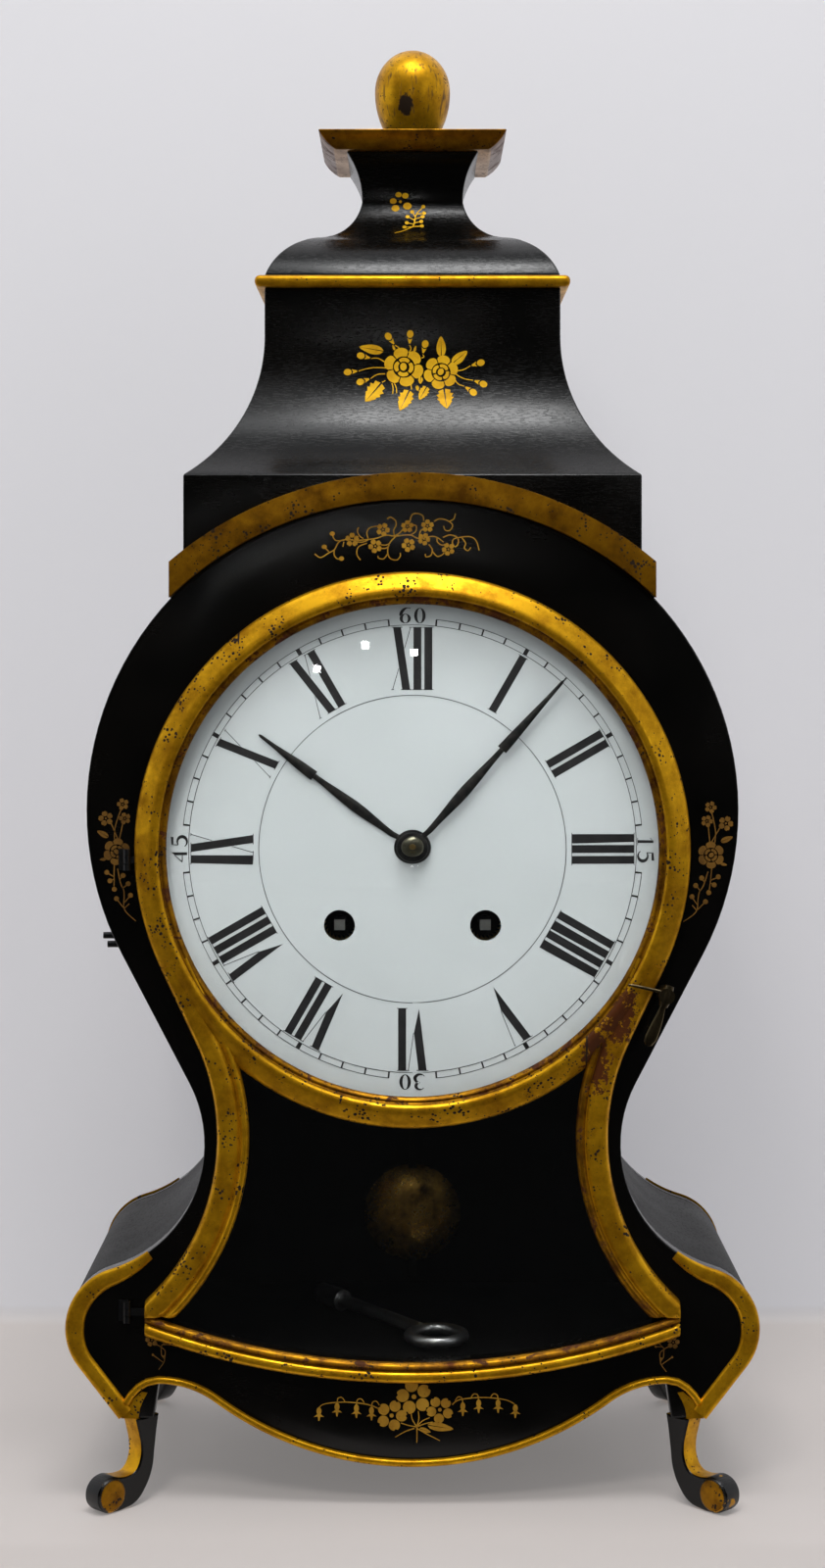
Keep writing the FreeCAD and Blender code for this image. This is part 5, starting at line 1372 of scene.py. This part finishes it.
# The flowering vine between the arch and the dial ring.
vine = [[(-99.8, -15.3), (-93.7, -18.9), (-85.3, -14.1), (-79.8, -11.1), (-75.6, -3.8), (-69.5, -0.8), (-56.2, -1.4),
         (-45.3, -0.5), (-36.8, 0.7), (-27.1, 3.8), (-17.4, 2.9), (-2.9, 4.1), (6.8, 0.4), (18.9, 2.5), (25.0, 1.6),
         (31.7, -3.2)],
        [(-81.6, 5.0), (-80.5, 1.0), (-77.4, -1.7), (-69.5, -1.4)], [(-89.5, -8.7), (-85.3, -12.9)],
        [(-79.8, -11.7), (-79.8, -16.5), (-76.8, -20.2), (-72.5, -20.2)],
        [(-55.0, 11.9), (-56.2, 7.7), (-53.8, 2.9), (-50.1, 0.4)],
        [(-53.2, -21.4), (-56.8, -15.3), (-55.0, -8.0), (-46.5, -4.4)],
        [(-45.3, 0.4), (-46.5, 6.5), (-43.5, 11.3), (-35.6, 13.2)],
        [(-25.9, 20.4), (-22.3, 22.2), (-17.4, 18.6), (-16.8, 13.8), (-19.2, 8.9), (-18.6, 3.5)],
        [(-17.4, 3.5), (-12.6, 6.5), (-8.9, 11.3)],
        [(-2.9, 17.0), (-0.4, 24.7), (5.6, 25.9), (10.5, 23.5), (11.5, 18.6)],
        [(-0.4, 14.4), (3.8, 13.2), (3.2, 7.7), (-1.7, 4.1)],
        [(22.0, 18.0), (27.4, 20.4), (34.7, 19.2), (40.8, 14.4), (38.3, 8.9), (33.5, 8.9), (31.7, 13.2)],
        [(37.7, 18.0), (42.0, 20.4), (43.8, 25.9)], [(6.8, 0.4), (8.0, 7.7), (11.7, 10.7)],
        [(-17.4, 2.3), (-23.5, -4.4), (-25.3, -13.0), (-22.9, -19.6), (-16.2, -21.4), (-12.6, -17.7), (-12.6, -14.1)],
        [(-25.5, -15.5), (-29.5, -20.2), (-34.4, -19.6), (-35.3, -17.1)],
        [(16.5, -5.6), (20.1, -10.5), (18.9, -16.5), (14.1, -18.3), (12.9, -15.3)],
        [(20.6, -13.0), (25.0, -17.7), (29.8, -16.5), (32.3, -14.1)],
        [(25.0, 1.0), (25.6, -3.2), (29.8, -6.2), (33.5, -5.6)],
        [(31.1, 1.6), (38.3, 4.1), (45.6, 1.6), (46.8, -3.8), (43.8, -8.0), (40.7, -4.4), (42.0, -0.2), (48.0, 1.6),
         (58.9, 2.3), (65.0, -2.0), (68.0, -11.7)],
        [(50.4, 1.2), (54.1, -4.4), (52.9, -9.3), (56.5, -11.9), (59.5, -8.7)],
        [(-32.0, -6.0), (-27.0, -6.2), (-22.5, -4.0)], [(-34.0, -9.5), (-27.5, -9.5), (-23.5, -6.5)],
        [(-57.0, -3.0), (-51.0, -3.2), (-45.0, -1.0)], [(-70.0, -3.0), (-71.0, -8.0)]]
heads = []
for i, (x, y, size) in enumerate(((-61.6, -0.8, 7.6), (-38.0, -7.4, 7.6), (-30.1, 9.5, 7.4), (-5.3, 12.6, 6.8),
                                  (-4.1, -6.2, 7.6), (11.7, -0.2, 6.8), (15.3, 13.2, 7.0), (36.5, -10.5, 7.0))):
    heads += placed(small_flower, x, y, 24 * i, size)
heads += dotted([(-81.8, 5.4), (-90.0, -8.0), (-72.5, -20.0)], 2.7, 2.3)
spray("arch_vine", [stems(vine, 1.25, 1.0), heads], (0.0, 433.6), "front_panel", paint_mid)

# The posy with its two rows of bell flowers on the apron.
root = (4.4, -10.6)
stalks = stems(((root, (-0.5, -2.0), (-1.5, 7.0)), (root, (6.5, -2.0), (5.9, 5.5)), (root, (10.0, -4.5), (17.6, -1.1)),
                (root, (12.0, -7.5), (20.5, -5.5)), (root, (-4.0, -9.0), (-12.0, -6.5)),
                ((2.0, -12.0), (-7.0, -15.0), (-17.6, -20.9)), (root, (4.6, -18.0), (4.4, -26.7)),
                ((4.4, -12.0), (15.0, -18.0), (27.9, -24.5)),
                ((-35.0, 8.5), (-48.4, 12.9), (-70.4, 14.8), (-89.5, 12.9), (-95.4, 9.2)),
                ((40.5, 12.1), (48.4, 17.3), (71.9, 19.5), (93.9, 17.3), (104.1, 12.9))), 1.3, 0.8)
heads = []
for x, y in ((-41.8, 10.0), (-57.2, 12.5), (-77.0, 14.0), (-95.4, 9.5), (51.3, 14.5), (67.5, 17.5), (87.3, 17.5),
             (104.9, 12.5)):
    heads += placed(bell_flower, x, y, 0, 11.5)
    side = 1 if x < 0 else -1
    if abs(x) < 90:
        hook = [(x, y - 1.0), (x + side * 1.0, y + 4.5), (x + side * 5.0, y + 5.5), (x + side * 8.0, y + 1.5)]
        stalks.append(stem(hook, 1.0, 0.9))
for x, y, size, turn in ((1.5, 20.2, 19.0, 12), (-21.3, 1.1, 16.5, -20), (27.9, 7.0, 14.5, 30)):
    heads += placed(small_flower, x, y, turn, size)
heads += many(plain_leaf, (((14.0, -8.5), (42.5, -12.8), 0.3), ((6.0, -12.0), (19.0, -15.9), 0.36)))
spray("apron_posy", [stalks, heads], (0.0, 39.8), "front_panel", paint_mid)

# The tall sprigs beside the dial, one the other hand of its fellow and leaning a little.
stalks = stems((((3.5, 56.0), (-0.8, 44.6), (-3.7, 34.1), (-4.1, 24.0)), ((-7.5, 40.3), (-0.8, 24.4)),
                ((4.5, 39.8), (1.1, 24.0)), ((-4.1, -1.0), (-4.4, -11.9), (-4.4, -24.3)),
                ((-0.8, -6.0), (2.1, -20.5), (5.4, -28.1), (5.9, -34.8), (6.4, -48.2), (17.9, -59.7)),
                ((-11.8, -10.4), (-4.4, -14.5)), ((-8.4, -18.6), (-4.4, -17.0)), ((4.5, -13.8), (1.2, -17.5)),
                ((9.7, -21.9), (4.2, -26.5)), ((12.1, -33.9), (6.0, -41.0)), ((-1.7, -37.2), (5.2, -46.0)),
                ((11.0, -42.0), (6.2, -46.5))), 1.3, 1.0)
heads = placed(rose, -1.7, 11.1, 40, 13.5)
for x, y, size in ((4.5, 59.5, 6.5), (-12.8, 45.0, 8.0), (6.6, 45.0, 6.5)):
    heads += placed(small_flower, x, y, 15, size)
heads += many(plain_leaf, (((-9.4, 25.5), (-22.0, 32.6), 0.4), ((-12.0, 3.5), (-19.5, 3.0), 0.4)))
heads += dotted([(-11.8, -10.0), (-8.6, -18.6), (4.8, -13.2), (10.0, -21.6), (-4.1, -27.2), (-1.9, -36.8),
                 (12.4, -33.4)], 2.6, 2.6)
spray("left_sprig", [stalks, heads], (-132.0, 288.4), "front_panel", paint_brown)
leaning = [placed(loops, 0, 0, -7) for loops in other_hand([stalks, heads])]
spray("right_sprig", leaning, (132.6, 287.0), "front_panel", paint_brown)

# The little sprigs under the door's lower corners.
stalks = stems((((-5.0, 3.0), (1.0, 0.0), (2.0, -8.0), (5.0, -14.0), (-1.0, -23.0)),
                ((1.0, 0.0), (4.5, 4.0), (9.5, 9.0)), ((3.5, 2.5), (9.8, 2.8)),
                ((-6.8, -8.0), (-2.0, -11.5), (3.5, -15.5)), ((1.0, 0.0), (5.5, -4.0), (5.0, -14.0))))
heads = placed(small_flower, -8.0, 7.0, 10, 7.0)
heads += dotted([(9.5, 9.0), (9.8, 2.8), (-6.8, -8.0), (4.4, -9.5)], 1.3, 1.3, 10)
spray("left_corner_sprig", [stalks, heads], (-113.5, 71.0), "front_panel", paint_brown)
spray("right_corner_sprig", other_hand([stalks, heads]), (113.5, 70.0), "front_panel", paint_brown)
